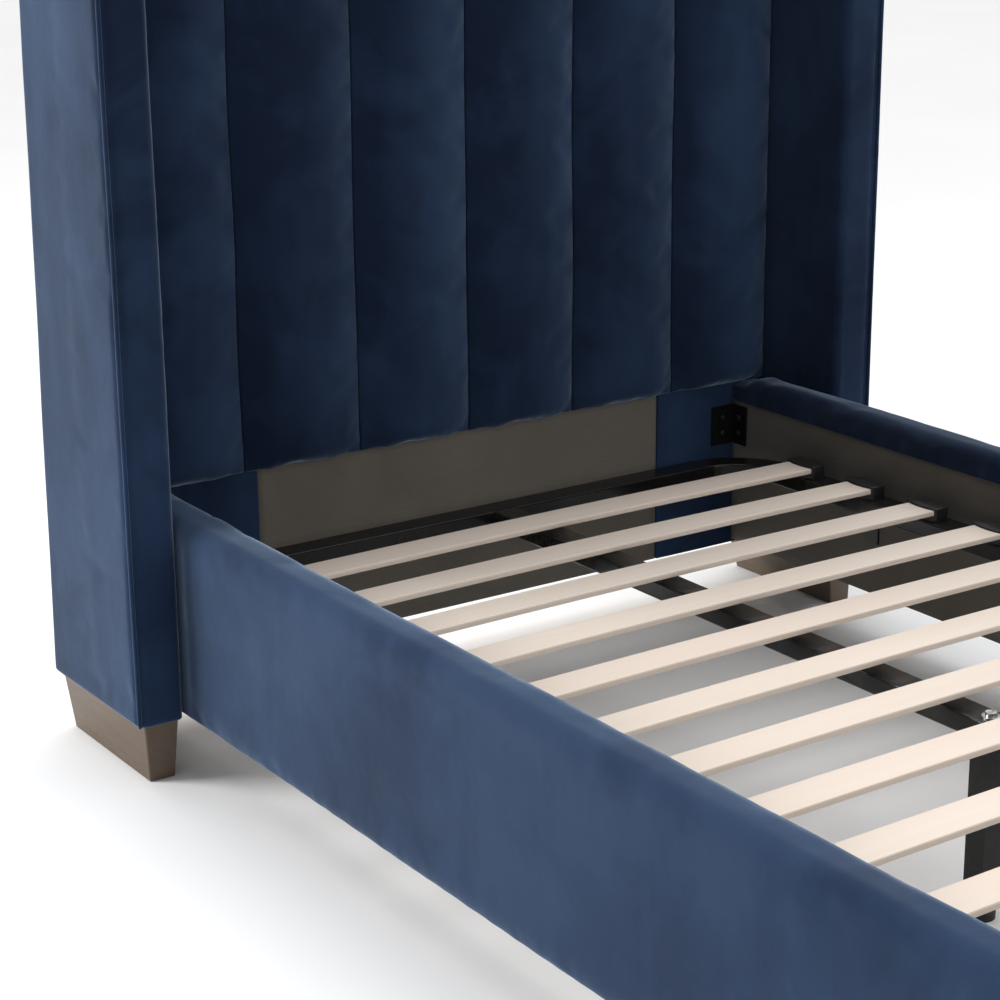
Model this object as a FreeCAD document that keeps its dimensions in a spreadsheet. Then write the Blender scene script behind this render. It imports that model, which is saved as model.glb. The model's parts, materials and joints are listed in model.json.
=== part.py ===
import FreeCAD, Part
import os

import Sketcher
from FreeCAD import Rotation, Vector
from types import SimpleNamespace

# A single bed with a tall, channelled, winged headboard. Three padded rails and the headboard make
# a box on wooden block legs, and a steel frame of sprung slats lies in it on steel brackets.
# X runs across the bed, +Y towards the headboard and +Z up. The origin is on the floor, under the
# centre of the bed's bounding box. "Left" is -X, as seen from the foot of the bed.

os.makedirs("parts", exist_ok=True)
doc = FreeCAD.newDocument("WingedBed")
sheet = doc.addObject("Spreadsheet::Sheet", "Sizes")

SIZES = (
    # The bed box
    ("rail_gap", 1012, "clear width between the padded side rails"),
    ("inner_length", 2102, "clear length from the headboard's seam plane to the footboard"),
    ("rail_thickness", 62, "side rail or footboard with its padding"),
    ("rail_bottom", 83, "underside of the rails above the floor"),
    ("rail_top", 359, "top of the rails' padding above the floor"),
    ("roll_depth", 41, "velvet turned over the rail's top, down its inner side"),
    ("roll_radius", 22, "rounding of the rails' padded top"),
    ("core_inset", 6, "padding on the inner side of a rail's board"),
    ("core_thickness", 28, "board inside a rail"),
    ("top_padding", 19, "padding above that board"),
    ("lining_thickness", 3, "lining cloth with its backing"),
    ("foam_clearance", 0.3, "gap between a padding and what it covers"),
    # The headboard
    ("headboard_top", 1400, "top of the wings above the floor"),
    ("headboard_bottom", 77, "underside of the headboard above the floor"),
    ("top_drop", 8, "top of the channels below the top of the wings"),
    ("cover_thickness", 6, "velvet and wadding over the headboard's posts"),
    ("board_thickness", 10, "board that carries the channels"),
    ("post_depth", 28, "depth of the headboard's timber"),
    ("post_width", 60, "width of the headboard's timber"),
    ("back_thickness", 4, "velvet-covered back panel"),
    ("channel_tuck", 11, "bottom of the channels below the rails' top"),
    ("channel_crown", 28, "how far a channel bulges out of the seam plane"),
    ("channel_seam", 0.6, "gap between neighbouring channels"),
    ("post_cover_width", 213, "velvet cover beside the lined panel below the channels"),
    # The wings
    ("wing_gap", 2, "gap between a wing and the rail or channels beside it"),
    ("wing_thickness", 68, "wing with its padding"),
    ("wing_reach", 174, "wing in front of the seam plane"),
    ("wing_heel", 99, "wing behind the seam plane, at its bottom"),
    ("wing_crest", 54, "wing behind the seam plane, at its top"),
    ("wing_bottom", 80, "underside of a wing, and the height of its leg"),
    ("wing_padding", 12, "padding around a wing's core"),
    ("wing_radius", 8, "rounding of a wing's edges"),
    ("welt_radius", 3, "piping along a wing's front edge"),
    # The wooden legs
    ("leg_inset", 6, "head leg's inner face inside the wing's, and a foot leg's inset all round"),
    ("leg_outer_inset", 12, "head leg's outer face inside the wing's"),
    ("leg_front_inset", 10, "head leg's front behind the wing's front"),
    ("leg_back_inset", 3, "head leg's back in front of the wing's back"),
    ("leg_taper_in", 9, "taper of a leg's inner face"),
    ("leg_taper_out", 4, "taper of a leg's outer face"),
    ("leg_taper_back", 23, "taper of a head leg's back face"),
    ("foot_leg_length", 90, "foot leg along the bed, at its top"),
    ("leg_rounding", 3, "rounding of a leg's upright edges"),
    ("leg_bolt_radius", 4, "hanger bolt in a leg"),
    ("leg_bolt_half", 30, "how far that bolt goes into each piece"),
    # The slat frame
    ("frame_side_gap", 14, "gap between the slat frame and a rail's lining"),
    ("frame_head_gap", 56, "gap between the slat frame and the seam plane"),
    ("frame_foot_gap", 14, "gap between the slat frame and the footboard"),
    ("tube_width", 40, "width of the frame's steel tube"),
    ("tube_height", 25, "height of that tube"),
    ("tube_wall", 1.5, "wall of that tube"),
    ("tube_edge", 3, "rounding of that tube's edges"),
    ("tube_underside", 225, "underside of the frame above the floor"),
    ("bend_radius", 120, "outer radius of the frame's bent corners"),
    ("bend_arm", 60, "straight tube past a bend, up to the joint"),
    ("seat_gap", 0.3, "gap between the frame and the brackets below it"),
    # The slats and their holders
    ("slat_width", 53, "width of a slat"),
    ("slat_thickness", 8.2, "thickness of a slat"),
    ("slat_end_inset", 20, "end of a slat inside the frame's outer side"),
    ("slat_bow", 3, "rise of a slat at mid-span"),
    ("slat_margin", 161.9, "middle of the first or last slat from the frame's end"),
    ("slat_lift", 8.5, "underside of a slat's end above the tube"),
    ("slat_edge", 2, "rounding of a slat's long edges"),
    ("slat_play", 0.4, "gap between a slat and its holder"),
    ("holder_side", 4.5, "holder on each side of its slat"),
    ("holder_overlap", 13, "how far a holder covers a slat's end"),
    ("holder_end", 12, "closed end of a holder past the slat"),
    ("holder_roof", 3, "holder above the slat"),
    ("holder_lip", 5, "bulge of a holder's mouth over the slat"),
    # The centre leg
    ("centre_leg_width", 30, "square tube of the centre leg"),
    ("centre_leg_end", 28, "bottom of that tube above the floor"),
    ("plug_depth", 14, "plug in each end of that tube"),
    ("stud_radius", 4, "threaded stud and bolt"),
    ("thread_clearance", 0.05, "radial gap around the stud and the bolt"),
    ("foot_radius", 18, "levelling foot"),
    ("foot_height", 8, "levelling foot's pad"),
    ("stud_length", 38, "stud above the pad"),
    ("bolt_reach", 36, "bolt below the top of the beam"),
    ("bolt_head_radius", 7, "bolt head"),
    ("bolt_head_height", 4.5, "bolt head"),
    ("washer_radius", 11, "washer under the bolt head"),
    ("washer_thickness", 1.6, "washer under the bolt head"),
    # Brackets and screws
    ("plate_thickness", 3, "steel of the brackets"),
    ("corner_drop", 7, "top of a corner bracket below the turned-over velvet"),
    ("corner_height", 64, "height of a corner bracket"),
    ("corner_on_board", 46, "corner bracket along the headboard or footboard"),
    ("corner_on_rail", 35, "corner bracket along the rail"),
    ("support_width", 30, "support bracket along the bed"),
    ("support_height", 60, "support bracket's upright"),
    ("support_reach", 46, "support bracket's shelf"),
    ("support_margin", 276, "middle of the first or last support bracket from the frame's end"),
    ("screw_head_radius", 4.5, "wood screw head"),
    ("screw_head_height", 2.4, "wood screw head"),
    ("screw_radius", 2, "wood screw shank"),
    ("screw_length", 18, "wood screw below its head"),
    ("screw_play", 0.3, "radial gap around a screw in a bracket"),
    ("wing_bolt_radius", 4, "bolt between a wing and a post"),
    ("wing_bolt_length", 70, "bolt between a wing and a post"),
)

SLAT_COUNT = 14
CHANNEL_COUNT = 6
SUPPORTS_PER_SIDE = 5
SIDES = (("left", -1), ("right", 1))
WING_BOLTS_PER_SIDE = 3
# Where the screws sit, as shares of a bracket's height: from its middle, and from its top.
CORNER_SCREW_SPREAD = 0.2
SUPPORT_SCREW_DEPTHS = (0.3, 0.6)
TOLERANCE = 1e-4
# The height of a quarter circle's arc over its chord, as a share of its radius.
QUARTER_ARC_HEIGHT = 1 - 0.5**0.5


# ---- Sizes that keep the expression they come from ----


class Size:
    """A length in millimetres, with the expression on the sheet that gives it."""

    def __init__(self, value, text):
        self.value = value
        self.text = text

    def __add__(self, other):
        other = as_size(other)
        return Size(self.value + other.value, f"({self.text} + {other.text})")

    def __sub__(self, other):
        other = as_size(other)
        return Size(self.value - other.value, f"({self.text} - {other.text})")

    def __mul__(self, other):
        other = as_size(other)
        return Size(self.value * other.value, f"({self.text} * {other.text})")

    def __truediv__(self, other):
        other = as_size(other)
        return Size(self.value / other.value, f"({self.text} / {other.text})")

    def __neg__(self):
        return Size(-self.value, f"(0 - {self.text})")

    def root(self):
        return Size(self.value**0.5, f"sqrt({self.text})")


def as_size(number):
    """A Size as it is, and a plain number as a Size."""
    if isinstance(number, Size):
        return number
    return Size(float(number), f"({float(number)})")


def fill_sheet():
    """Writes every driving size to the sheet and returns them by name."""
    named = {}
    for row, (alias, value, meaning) in enumerate(SIZES, start=1):
        sheet.set(f"A{row}", meaning)
        sheet.set(f"B{row}", str(value))
        sheet.setAlias(f"B{row}", alias)
        named[alias] = Size(float(value), f"Sizes.{alias}")
    doc.recompute()
    return SimpleNamespace(**named)


S = fill_sheet()
pieces = []


def piece(item, label):
    """Names a finished sub-part, which also names its file."""
    item.Label = label
    pieces.append(item)
    return item


def bind(item, prop, size):
    item.setExpression(prop, as_size(size).text)


def place(item, x, y, z):
    """Puts an object's own origin at a point."""
    for axis, size in zip("xyz", (x, y, z)):
        bind(item, f"Placement.Base.{axis}", size)


def across(side, near, far):
    """A span of X, from near to far of the bed's middle, on one side of it."""
    if side > 0:
        return (as_size(near), as_size(far))
    return (-as_size(far), -as_size(near))


# ---- Solids ----


def block(name, xs, ys, zs):
    """A box between two values on each axis."""
    item = doc.addObject("Part::Box", name)
    for prop, (low, high) in zip(("Length", "Width", "Height"), (xs, ys, zs)):
        bind(item, prop, as_size(high) - low)
    place(item, xs[0], ys[0], zs[0])
    return item


def rod(name, centre, radius, length, direction=Vector(0, 0, 1)):
    """A cylinder that starts at a point and runs in a direction."""
    item = doc.addObject("Part::Cylinder", name)
    bind(item, "Radius", radius)
    bind(item, "Height", length)
    item.Placement.Rotation = Rotation(Vector(0, 0, 1), direction)
    place(item, *centre)
    return item


def cut(name, base, tool):
    item = doc.addObject("Part::Cut", name)
    item.Base = base
    item.Tool = tool
    return item


def fuse(name, items):
    item = doc.addObject("Part::MultiFuse", name)
    item.Shapes = items
    return item


def group(name, items):
    item = doc.addObject("Part::Compound", name)
    item.Links = items
    return item


def origin_plane(body, role):
    for feature in body.Origin.OriginFeatures:
        if feature.Role == role:
            return feature
    raise ValueError(f"{body.Name} has no {role}")


def sketch_on(body, name, role, offset):
    """An empty sketch on one of a body's own planes, moved along the plane's normal."""
    sketch = body.newObject("Sketcher::SketchObject", name)
    sketch.AttachmentSupport = (origin_plane(body, role), [""])
    sketch.MapMode = "FlatFace"
    bind(sketch, "AttachmentOffset.Base.z", offset)
    return sketch


def arc_centre(start, end, bulge):
    """The centre of the arc between two corners that stands out by bulge to the right of its chord."""
    run = end[0] - start[0]
    rise = end[1] - start[1]
    chord = (run * run + rise * rise).root()
    share = chord / (bulge * 8) - bulge / (chord * 2)
    return (start[0] + end[0]) / 2 - rise * share, (start[1] + end[1]) / 2 + run * share


def draw_outline(sketch, corners, bulges):
    """Draws a closed outline, every corner and every arc tied to the sheet.

    bulges gives, for the sides that are arcs, how far each stands out to the right of its chord.
    """
    corners = [(as_size(u), as_size(v)) for u, v in corners]
    points = [Vector(u.value, v.value, 0) for u, v in corners]
    count = len(corners)
    ends = []
    for index in range(count):
        start, end = points[index], points[(index + 1) % count]
        if index not in bulges:
            sketch.addGeometry(Part.LineSegment(start, end), False)
            ends.append((1, 2))
            continue
        outward = (end - start).cross(Vector(0, 0, 1)).normalize()
        middle = (start + end) * 0.5 + outward * bulges[index].value
        # An arc is always drawn anticlockwise, which runs backwards where it is hollow.
        hollow = bulges[index].value < 0
        way = (end, middle, start) if hollow else (start, middle, end)
        sketch.addGeometry(Part.Arc(*way), False)
        ends.append((2, 1) if hollow else (1, 2))
    for index in range(count):
        following = (index + 1) % count
        joint = (index, ends[index][1], following, ends[following][0])
        sketch.addConstraint(Sketcher.Constraint("Coincident", *joint))
    for index, corner in enumerate(corners):
        for kind, size in zip(("DistanceX", "DistanceY"), corner):
            where = (-1, 1, index, ends[index][0], size.value)
            number = sketch.addConstraint(Sketcher.Constraint(kind, *where))
            bind(sketch, f"Constraints[{number}]", size)
    for index, bulge in bulges.items():
        start, end = corners[index], corners[(index + 1) % count]
        centre = arc_centre(start, end, as_size(bulge))
        # The two ends leave an arc's centre free to move only square to its chord.
        upright = abs(end[1].value - start[1].value) > abs(end[0].value - start[0].value)
        kind, size = ("DistanceX", centre[0]) if upright else ("DistanceY", centre[1])
        number = sketch.addConstraint(Sketcher.Constraint(kind, -1, 1, index, 3, size.value))
        bind(sketch, f"Constraints[{number}]", size)


def prism(name, role, corners, low, high, bulges=None):
    """A body padded from an outline, between two values on the axis that the plane faces."""
    body = doc.addObject("PartDesign::Body", name)
    # The XZ plane faces -Y, so its sketch lies at the high end and the pad runs down from there.
    offset = -as_size(high) if role == "XZ_Plane" else as_size(low)
    sketch = sketch_on(body, f"{name}_outline", role, offset)
    draw_outline(sketch, corners, bulges or {})
    pad = body.newObject("PartDesign::Pad", f"{name}_pad")
    pad.Profile = sketch
    bind(pad, "Length", as_size(high) - low)
    doc.recompute()
    return body


def round_edges(body, radius, wanted):
    """Rounds the edges of a body's last feature that wanted() picks."""
    base = body.Tip
    names = [f"Edge{n}" for n, edge in enumerate(base.Shape.Edges, start=1) if wanted(edge)]
    fillet = body.newObject("PartDesign::Fillet", f"{body.Name}_rounding{len(body.Group)}")
    fillet.Base = (base, names)
    bind(fillet, "Radius", radius)
    doc.recompute()
    return body


def runs_along(edge, axis):
    """True for a straight edge along X, Y or Z."""
    ends = [vertex.Point for vertex in edge.Vertexes]
    if len(ends) != 2 or edge.Curve.TypeId != "Part::GeomLine":
        return False
    return abs(abs((ends[1] - ends[0]).normalize().dot(axis)) - 1) < TOLERANCE


def middle_of(edge):
    return edge.valueAt((edge.FirstParameter + edge.LastParameter) / 2)


X_AXIS = Vector(1, 0, 0)
Y_AXIS = Vector(0, 1, 0)
Z_AXIS = Vector(0, 0, 1)


# ---- Places that several pieces share ----

overall_length = S.wing_heel + S.inner_length + S.rail_thickness
seam_plane = overall_length / 2 - S.wing_heel
foot_inner = seam_plane - S.inner_length
foot_outer = foot_inner - S.rail_thickness
rail_inner = S.rail_gap / 2
rail_outer = rail_inner + S.rail_thickness
roll_bottom = S.rail_top - S.roll_depth
core_top = S.rail_top - S.top_padding
core_near = rail_inner + S.core_inset
core_far = core_near + S.core_thickness
lining_face = core_near - S.lining_thickness
board_front = seam_plane + S.cover_thickness
board_back = board_front + S.board_thickness
timber_back = board_back + S.post_depth
channels_top = S.headboard_top - S.top_drop
channel_bottom = S.rail_top - S.channel_tuck
lining_half_width = rail_outer - S.post_cover_width
wing_near = rail_outer + S.wing_gap
wing_far = wing_near + S.wing_thickness
wing_front = seam_plane - S.wing_reach
foot_lining_face = foot_inner - S.core_inset + S.lining_thickness
frame_half = lining_face - S.frame_side_gap
frame_head = seam_plane - S.frame_head_gap
frame_foot = foot_inner + S.frame_foot_gap
frame_middle = (frame_head + frame_foot) / 2
slat_half_length = frame_half - S.slat_end_inset
slat_pitch = (frame_head - frame_foot - S.slat_margin * 2) / (SLAT_COUNT - 1)
support_pitch = (frame_head - frame_foot - S.support_margin * 2) / (SUPPORTS_PER_SIDE - 1)
tube_top = S.tube_underside + S.tube_height


# ---- Headboard ----


def headboard_timber():
    """Two posts, three cross rails, the front board and the velvet-covered back panel."""
    depth = (board_back, timber_back)
    height = (S.headboard_bottom, channels_top - S.cover_thickness)
    post_inner = rail_outer - S.post_width
    for word, side in SIDES:
        name = f"headboard_post_{word}"
        piece(block(name, across(side, post_inner, rail_outer), depth, height), name)
    bottoms = (height[0], channel_bottom - S.post_width / 2, height[1] - S.post_width)
    rails = []
    for number, bottom in enumerate(bottoms, start=1):
        heights = (bottom, bottom + S.post_width)
        rails.append(block(f"cross_rail_{number}", (-post_inner, post_inner), depth, heights))
    piece(group("cross_rails", rails), "headboard_cross_rails")
    width = (-rail_outer, rail_outer)
    front = block("front_board", width, (board_front, board_back), height)
    piece(front, "headboard_front_board")
    # The back panel's velvet is turned forwards over the top of the timber.
    back_depth = (timber_back, timber_back + S.back_thickness)
    back = block("back_board", width, back_depth, (S.headboard_bottom, channels_top))
    turnover = block("back_turnover", width, (board_front, timber_back), (height[1], channels_top))
    piece(fuse("back_panel", [back, turnover]), "headboard_back_panel")


def headboard_channels():
    """Six upright padded channels, side by side, each with a round front."""
    width = rail_outer * 2 / CHANNEL_COUNT
    half = (width - S.channel_seam) / 2
    back = board_front - S.foam_clearance
    for number in range(CHANNEL_COUNT):
        name = f"headboard_channel_{number + 1}"
        centre = width * (number - (CHANNEL_COUNT - 1) / 2)
        corners = (
            (centre + half, back),
            (centre - half, back),
            (centre - half, seam_plane),
            (centre + half, seam_plane),
        )
        heights = (channel_bottom, channels_top)
        crown = {2: S.channel_crown}
        piece(prism(name, "XY_Plane", corners, *heights, bulges=crown), name)


def headboard_lower_front():
    """The lined panel behind the mattress and the velvet covers on the posts beside it."""
    height = (S.headboard_bottom, channel_bottom - S.foam_clearance)
    depth = (board_front - S.lining_thickness, board_front)
    panel = block("lower_lining", (-lining_half_width, lining_half_width), depth, height)
    piece(panel, "headboard_lower_lining")
    cover_near = lining_half_width + S.foam_clearance
    for word, side in SIDES:
        name = f"post_cover_{word}"
        cover = block(name, across(side, cover_near, rail_outer), (seam_plane, board_front), height)
        piece(cover, name)


# ---- Wings ----


def wing_outline(inset):
    """A wing's side outline, inset all round except at its open bottom."""
    top = S.headboard_top - inset
    return (
        (wing_front + inset, S.wing_bottom),
        (seam_plane + S.wing_heel - inset, S.wing_bottom),
        (seam_plane + S.wing_crest - inset, top),
        (wing_front + inset, top),
    )


def wings():
    """Each wing is a board core in a padded velvet cover that is open at the bottom."""
    inset = S.wing_padding
    for word, side in SIDES:
        xs = across(side, wing_near + inset, wing_far - inset)
        core = prism(f"wing_core_{word}", "YZ_Plane", wing_outline(inset), *xs)
        piece(core, f"wing_core_{word}")

        cover = prism(
            f"wing_cover_{word}", "YZ_Plane", wing_outline(as_size(0)), *across(side, wing_near, wing_far)
        )
        round_edges(cover, S.wing_radius, above_the_bottom)
        loose = inset - S.foam_clearance
        room = across(side, wing_near + loose, wing_far - loose)
        hollow = prism(f"wing_hollow_{word}", "YZ_Plane", wing_outline(loose), *room)
        piece(cut(f"wing_pad_{word}", cover, hollow), f"wing_pad_{word}")


def above_the_bottom(edge):
    """True for a wing cover's edges that don't lie on its underside."""
    return edge.BoundBox.ZMax > S.wing_bottom.value + TOLERANCE


def wing_welts():
    """The piping lies on the rounded outer front edge of each wing, at 45 degrees."""
    out = (S.wing_radius + S.welt_radius + S.foam_clearance) * 0.5**0.5
    y = wing_front + S.wing_radius - out
    bottom = S.wing_bottom + S.welt_radius
    length = S.headboard_top - S.wing_radius - bottom
    welts = []
    for word, side in SIDES:
        x = (wing_far - S.wing_radius + out) * side
        welts.append(rod(f"welt_{word}", (x, y, bottom), S.welt_radius, length))
    piece(group("welts", welts), "wing_welts")


def wing_bolts():
    """Three bolts on each side hold a wing to its post."""
    y = (board_back + timber_back) / 2
    start = rail_outer - S.wing_bolt_length / 2
    room = S.headboard_top - S.headboard_bottom
    bolts = []
    for word, side in SIDES:
        for number in range(WING_BOLTS_PER_SIDE):
            z = S.headboard_bottom + room * (number + 0.5) / WING_BOLTS_PER_SIDE
            centre = (start * side, y, z)
            name = f"wing_bolt_{word}_{number + 1}"
            bolts.append(rod(name, centre, S.wing_bolt_radius, S.wing_bolt_length, X_AXIS * side))
    piece(group("bolts_of_wings", bolts), "wing_bolts")


# ---- Wooden legs ----


def rounded_rectangle(xs, ys, radius):
    """The corners of a rectangle with round corners, and the bulges of their arcs."""
    (west, east), (south, north) = xs, ys
    corners = (
        (west + radius, south),
        (east - radius, south),
        (east, south + radius),
        (east, north - radius),
        (east - radius, north),
        (west + radius, north),
        (west, north - radius),
        (west, south + radius),
    )
    bulge = radius * QUARTER_ARC_HEIGHT
    return corners, {side: bulge for side in (1, 3, 5, 7)}


def tapered_leg(name, top_xs, bottom_xs, top_ys, bottom_ys, height):
    """A block leg with rounded upright edges, lofted from the floor to its top."""
    body = doc.addObject("PartDesign::Body", name)
    outlines = []
    for word, xs, ys, level in (
        ("sole", bottom_xs, bottom_ys, 0),
        ("top", top_xs, top_ys, height),
    ):
        sketch = sketch_on(body, f"{name}_{word}", "XY_Plane", level)
        draw_outline(sketch, *rounded_rectangle(xs, ys, S.leg_rounding))
        outlines.append(sketch)
    loft = body.newObject("PartDesign::AdditiveLoft", f"{name}_loft")
    loft.Profile = outlines[0]
    loft.Sections = [outlines[1]]
    loft.Ruled = True
    piece(body, name)


def wooden_legs():
    """A long block under each wing, and a short one under each end of the footboard."""
    near = wing_near + S.leg_inset
    far = wing_far - S.leg_outer_inset
    front = wing_front + S.leg_front_inset
    back = seam_plane + S.wing_heel - S.leg_back_inset
    foot_far = rail_outer - S.leg_inset
    foot_near = rail_inner + S.leg_inset
    foot_front = foot_outer + S.leg_inset
    foot_back = foot_front + S.foot_leg_length
    for word, side in SIDES:
        tapered_leg(
            f"head_leg_{word}",
            across(side, near, far),
            across(side, near + S.leg_taper_in, far - S.leg_taper_out),
            (front, back),
            (front, back - S.leg_taper_back),
            S.wing_bottom,
        )
        tapered_leg(
            f"foot_leg_{word}",
            across(side, foot_near, foot_far),
            across(side, foot_near + S.leg_taper_in, foot_far - S.leg_taper_out),
            (foot_front, foot_back),
            (foot_front + S.leg_taper_out, foot_back - S.leg_taper_in),
            S.rail_bottom,
        )
    quarter = (back - front) / 4
    foot_bolt = (
        core_far - S.leg_bolt_radius * 2,
        foot_inner - S.core_inset - S.core_thickness / 2,
        S.rail_bottom,
    )
    leg_bolts(
        (
            ((near + far) / 2, front + quarter, S.wing_bottom),
            ((near + far) / 2, back - quarter, S.wing_bottom),
            foot_bolt,
        )
    )


def leg_bolts(spots):
    """A hanger bolt joins each leg to the board above it, and two join a head leg to its wing."""
    bolts = []
    for word, side in SIDES:
        for number, (x, y, level) in enumerate(spots, start=1):
            centre = (x * side, y, level - S.leg_bolt_half)
            name = f"leg_bolt_{word}_{number}"
            bolts.append(rod(name, centre, S.leg_bolt_radius, S.leg_bolt_half * 2))
    piece(group("bolts_of_legs", bolts), "leg_bolts")


# ---- Side rails and footboard ----


def rail_section(inner, outward):
    """The padding's section: up the outer face, over the top and down to the lining.

    inner is the padding's inner face, and outward is 1 or -1, the way to the outer face.
    """
    gap = S.foam_clearance

    def at(distance):
        return inner + distance * outward

    core_out = at(S.core_inset + S.core_thickness + gap)
    core_in = at(S.core_inset - gap)
    return (
        (core_out, S.rail_bottom),
        (at(S.rail_thickness), S.rail_bottom),
        (at(S.rail_thickness), S.rail_top),
        (inner, S.rail_top),
        (inner, roll_bottom),
        (core_in, roll_bottom),
        (core_in, core_top + gap),
        (core_out, core_top + gap),
    )


def top_edges(axis):
    """Picks the long edges at the very top of a padding that runs along an axis."""

    def wanted(edge):
        return runs_along(edge, axis) and abs(middle_of(edge).z - S.rail_top.value) < TOLERANCE

    return wanted


def side_rails():
    """Each side rail is a board in padding, with a lining on its inner face."""
    length = (foot_inner, seam_plane)
    for word, side in SIDES:
        core = block(
            f"side_rail_core_{word}", across(side, core_near, core_far), length, (S.rail_bottom, core_top)
        )
        piece(core, f"side_rail_core_{word}")
        section = rail_section(rail_inner * side, side)
        padding = prism(f"side_rail_padding_{word}", "XZ_Plane", section, *length)
        round_edges(padding, S.roll_radius, top_edges(Y_AXIS))
        # The rail's top stops short of the channel that bulges over its end.
        gap = S.foam_clearance
        notch = block(
            f"side_rail_notch_{word}",
            across(side, rail_inner - gap, rail_outer + gap),
            (seam_plane - S.channel_crown - gap, seam_plane + gap),
            (channel_bottom - gap, S.rail_top + gap),
        )
        piece(cut(f"side_rail_pad_{word}", padding, notch), f"side_rail_pad_{word}")
        lining = block(
            f"side_rail_lining_{word}",
            across(side, lining_face, core_near),
            length,
            (S.rail_bottom, roll_bottom - S.foam_clearance),
        )
        piece(lining, f"side_rail_lining_{word}")


def footboard():
    """The footboard has the side rails' section and runs across their ends."""
    width = (-rail_outer, rail_outer)
    near = foot_inner - S.core_inset
    far = near - S.core_thickness
    half = rail_outer - S.cover_thickness
    core = block("footboard_core", (-half, half), (far, near), (S.rail_bottom, core_top))
    piece(core, "footboard_core")
    section = rail_section(foot_inner, -1)
    padding = prism("footboard_pad", "YZ_Plane", section, *width)
    piece(round_edges(padding, S.roll_radius, top_edges(X_AXIS)), "footboard_pad")
    # The lining stops where the side rails meet the footboard.
    lining = block(
        "footboard_lining",
        (-lining_face, lining_face),
        (near, near + S.lining_thickness),
        (S.rail_bottom, roll_bottom - S.foam_clearance),
    )
    piece(lining, "footboard_lining")


# ---- Brackets and screws ----


def angle(name, side, face, outward, ys_on_rail):
    """One corner bracket: a plate on the board across the bed and one on the rail's lining."""
    top = roll_bottom - S.corner_drop
    heights = (top - S.corner_height, top)
    near = lining_face - S.corner_on_board
    plate = sorted((face, face + S.plate_thickness * outward), key=lambda size: size.value)
    on_board = block(f"{name}_board", across(side, near, lining_face), plate, heights)
    xs = across(side, lining_face - S.plate_thickness, lining_face)
    on_rail = block(f"{name}_rail", xs, ys_on_rail, heights)
    return fuse(f"{name}_plates", [on_board, on_rail])


def screw(name, centre, direction):
    """A round-head wood screw whose head lies on a plate at a point, pointing in a direction."""
    head = rod(f"{name}_head", centre, S.screw_head_radius, S.screw_head_height, -direction)
    shank = rod(f"{name}_shank", centre, S.screw_radius, S.screw_length, direction)
    return fuse(name, [head, shank])


def screwed_down(name, plates, spots):
    """Plates with a clearance hole at each spot, and the screws that go there."""
    holes = []
    screws = []
    for number, (centre, direction) in enumerate(spots, start=1):
        radius = S.screw_radius + S.screw_play
        holes.append(rod(f"{name}_hole_{number}", centre, radius, S.plate_thickness, direction))
        screws.append(screw(f"{name}_screw_{number}", centre, direction))
    return cut(name, plates, fuse(f"{name}_holes", holes)), screws


def corner_brackets():
    """Four angle plates, one in each inner corner of the bed box, with their screws."""
    brackets = []
    screws = []
    middle = roll_bottom - S.corner_drop - S.corner_height / 2
    for word, side in SIDES:
        ends = (
            ("head", seam_plane, -1, (seam_plane - S.corner_on_rail, seam_plane)),
            ("foot", foot_lining_face, 1, (foot_lining_face, foot_lining_face + S.corner_on_rail)),
        )
        for end, face, outward, on_rail in ends:
            name = f"corner_bracket_{end}_{word}"
            plates = angle(name, side, face, outward, on_rail)
            x = (lining_face - S.corner_on_board / 2) * side
            y = (on_rail[0] + on_rail[1]) / 2
            plate_x = (lining_face - S.plate_thickness) * side
            plate_y = face + S.plate_thickness * outward
            spots = []
            for level in (-1, 1):
                z = middle + S.corner_height * CORNER_SCREW_SPREAD * level
                spots.append(((x, plate_y, z), Y_AXIS * -outward))
                spots.append(((plate_x, y, z), X_AXIS * side))
            bracket, its_screws = screwed_down(name, plates, spots)
            brackets.append(bracket)
            screws += its_screws
    piece(group("all_corner_brackets", brackets), "corner_brackets")
    return screws


def support_brackets():
    """L-shaped steel brackets along each rail, with the shelf that carries the slat frame."""
    shelf_top = S.tube_underside - S.seat_gap
    brackets = []
    screws = []
    for word, side in SIDES:
        upright = across(side, lining_face - S.plate_thickness, lining_face)
        shelf = across(side, lining_face - S.support_reach, lining_face)
        plate_x = (lining_face - S.plate_thickness) * side
        for number in range(SUPPORTS_PER_SIDE):
            y = frame_middle + support_pitch * (number - (SUPPORTS_PER_SIDE - 1) / 2)
            ys = (y - S.support_width / 2, y + S.support_width / 2)
            name = f"support_{word}_{number + 1}"
            wall = block(f"{name}_wall", upright, ys, (shelf_top - S.support_height, shelf_top))
            top = block(f"{name}_top", shelf, ys, (shelf_top - S.plate_thickness, shelf_top))
            plates = fuse(f"{name}_plates", [wall, top])
            spots = []
            for share in SUPPORT_SCREW_DEPTHS:
                z = shelf_top - S.support_height * share
                spots.append(((plate_x, y, z), X_AXIS * side))
            bracket, its_screws = screwed_down(name, plates, spots)
            brackets.append(bracket)
            screws += its_screws
    piece(group("all_support_brackets", brackets), "frame_support_brackets")
    return screws


# ---- Slat frame ----


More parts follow.
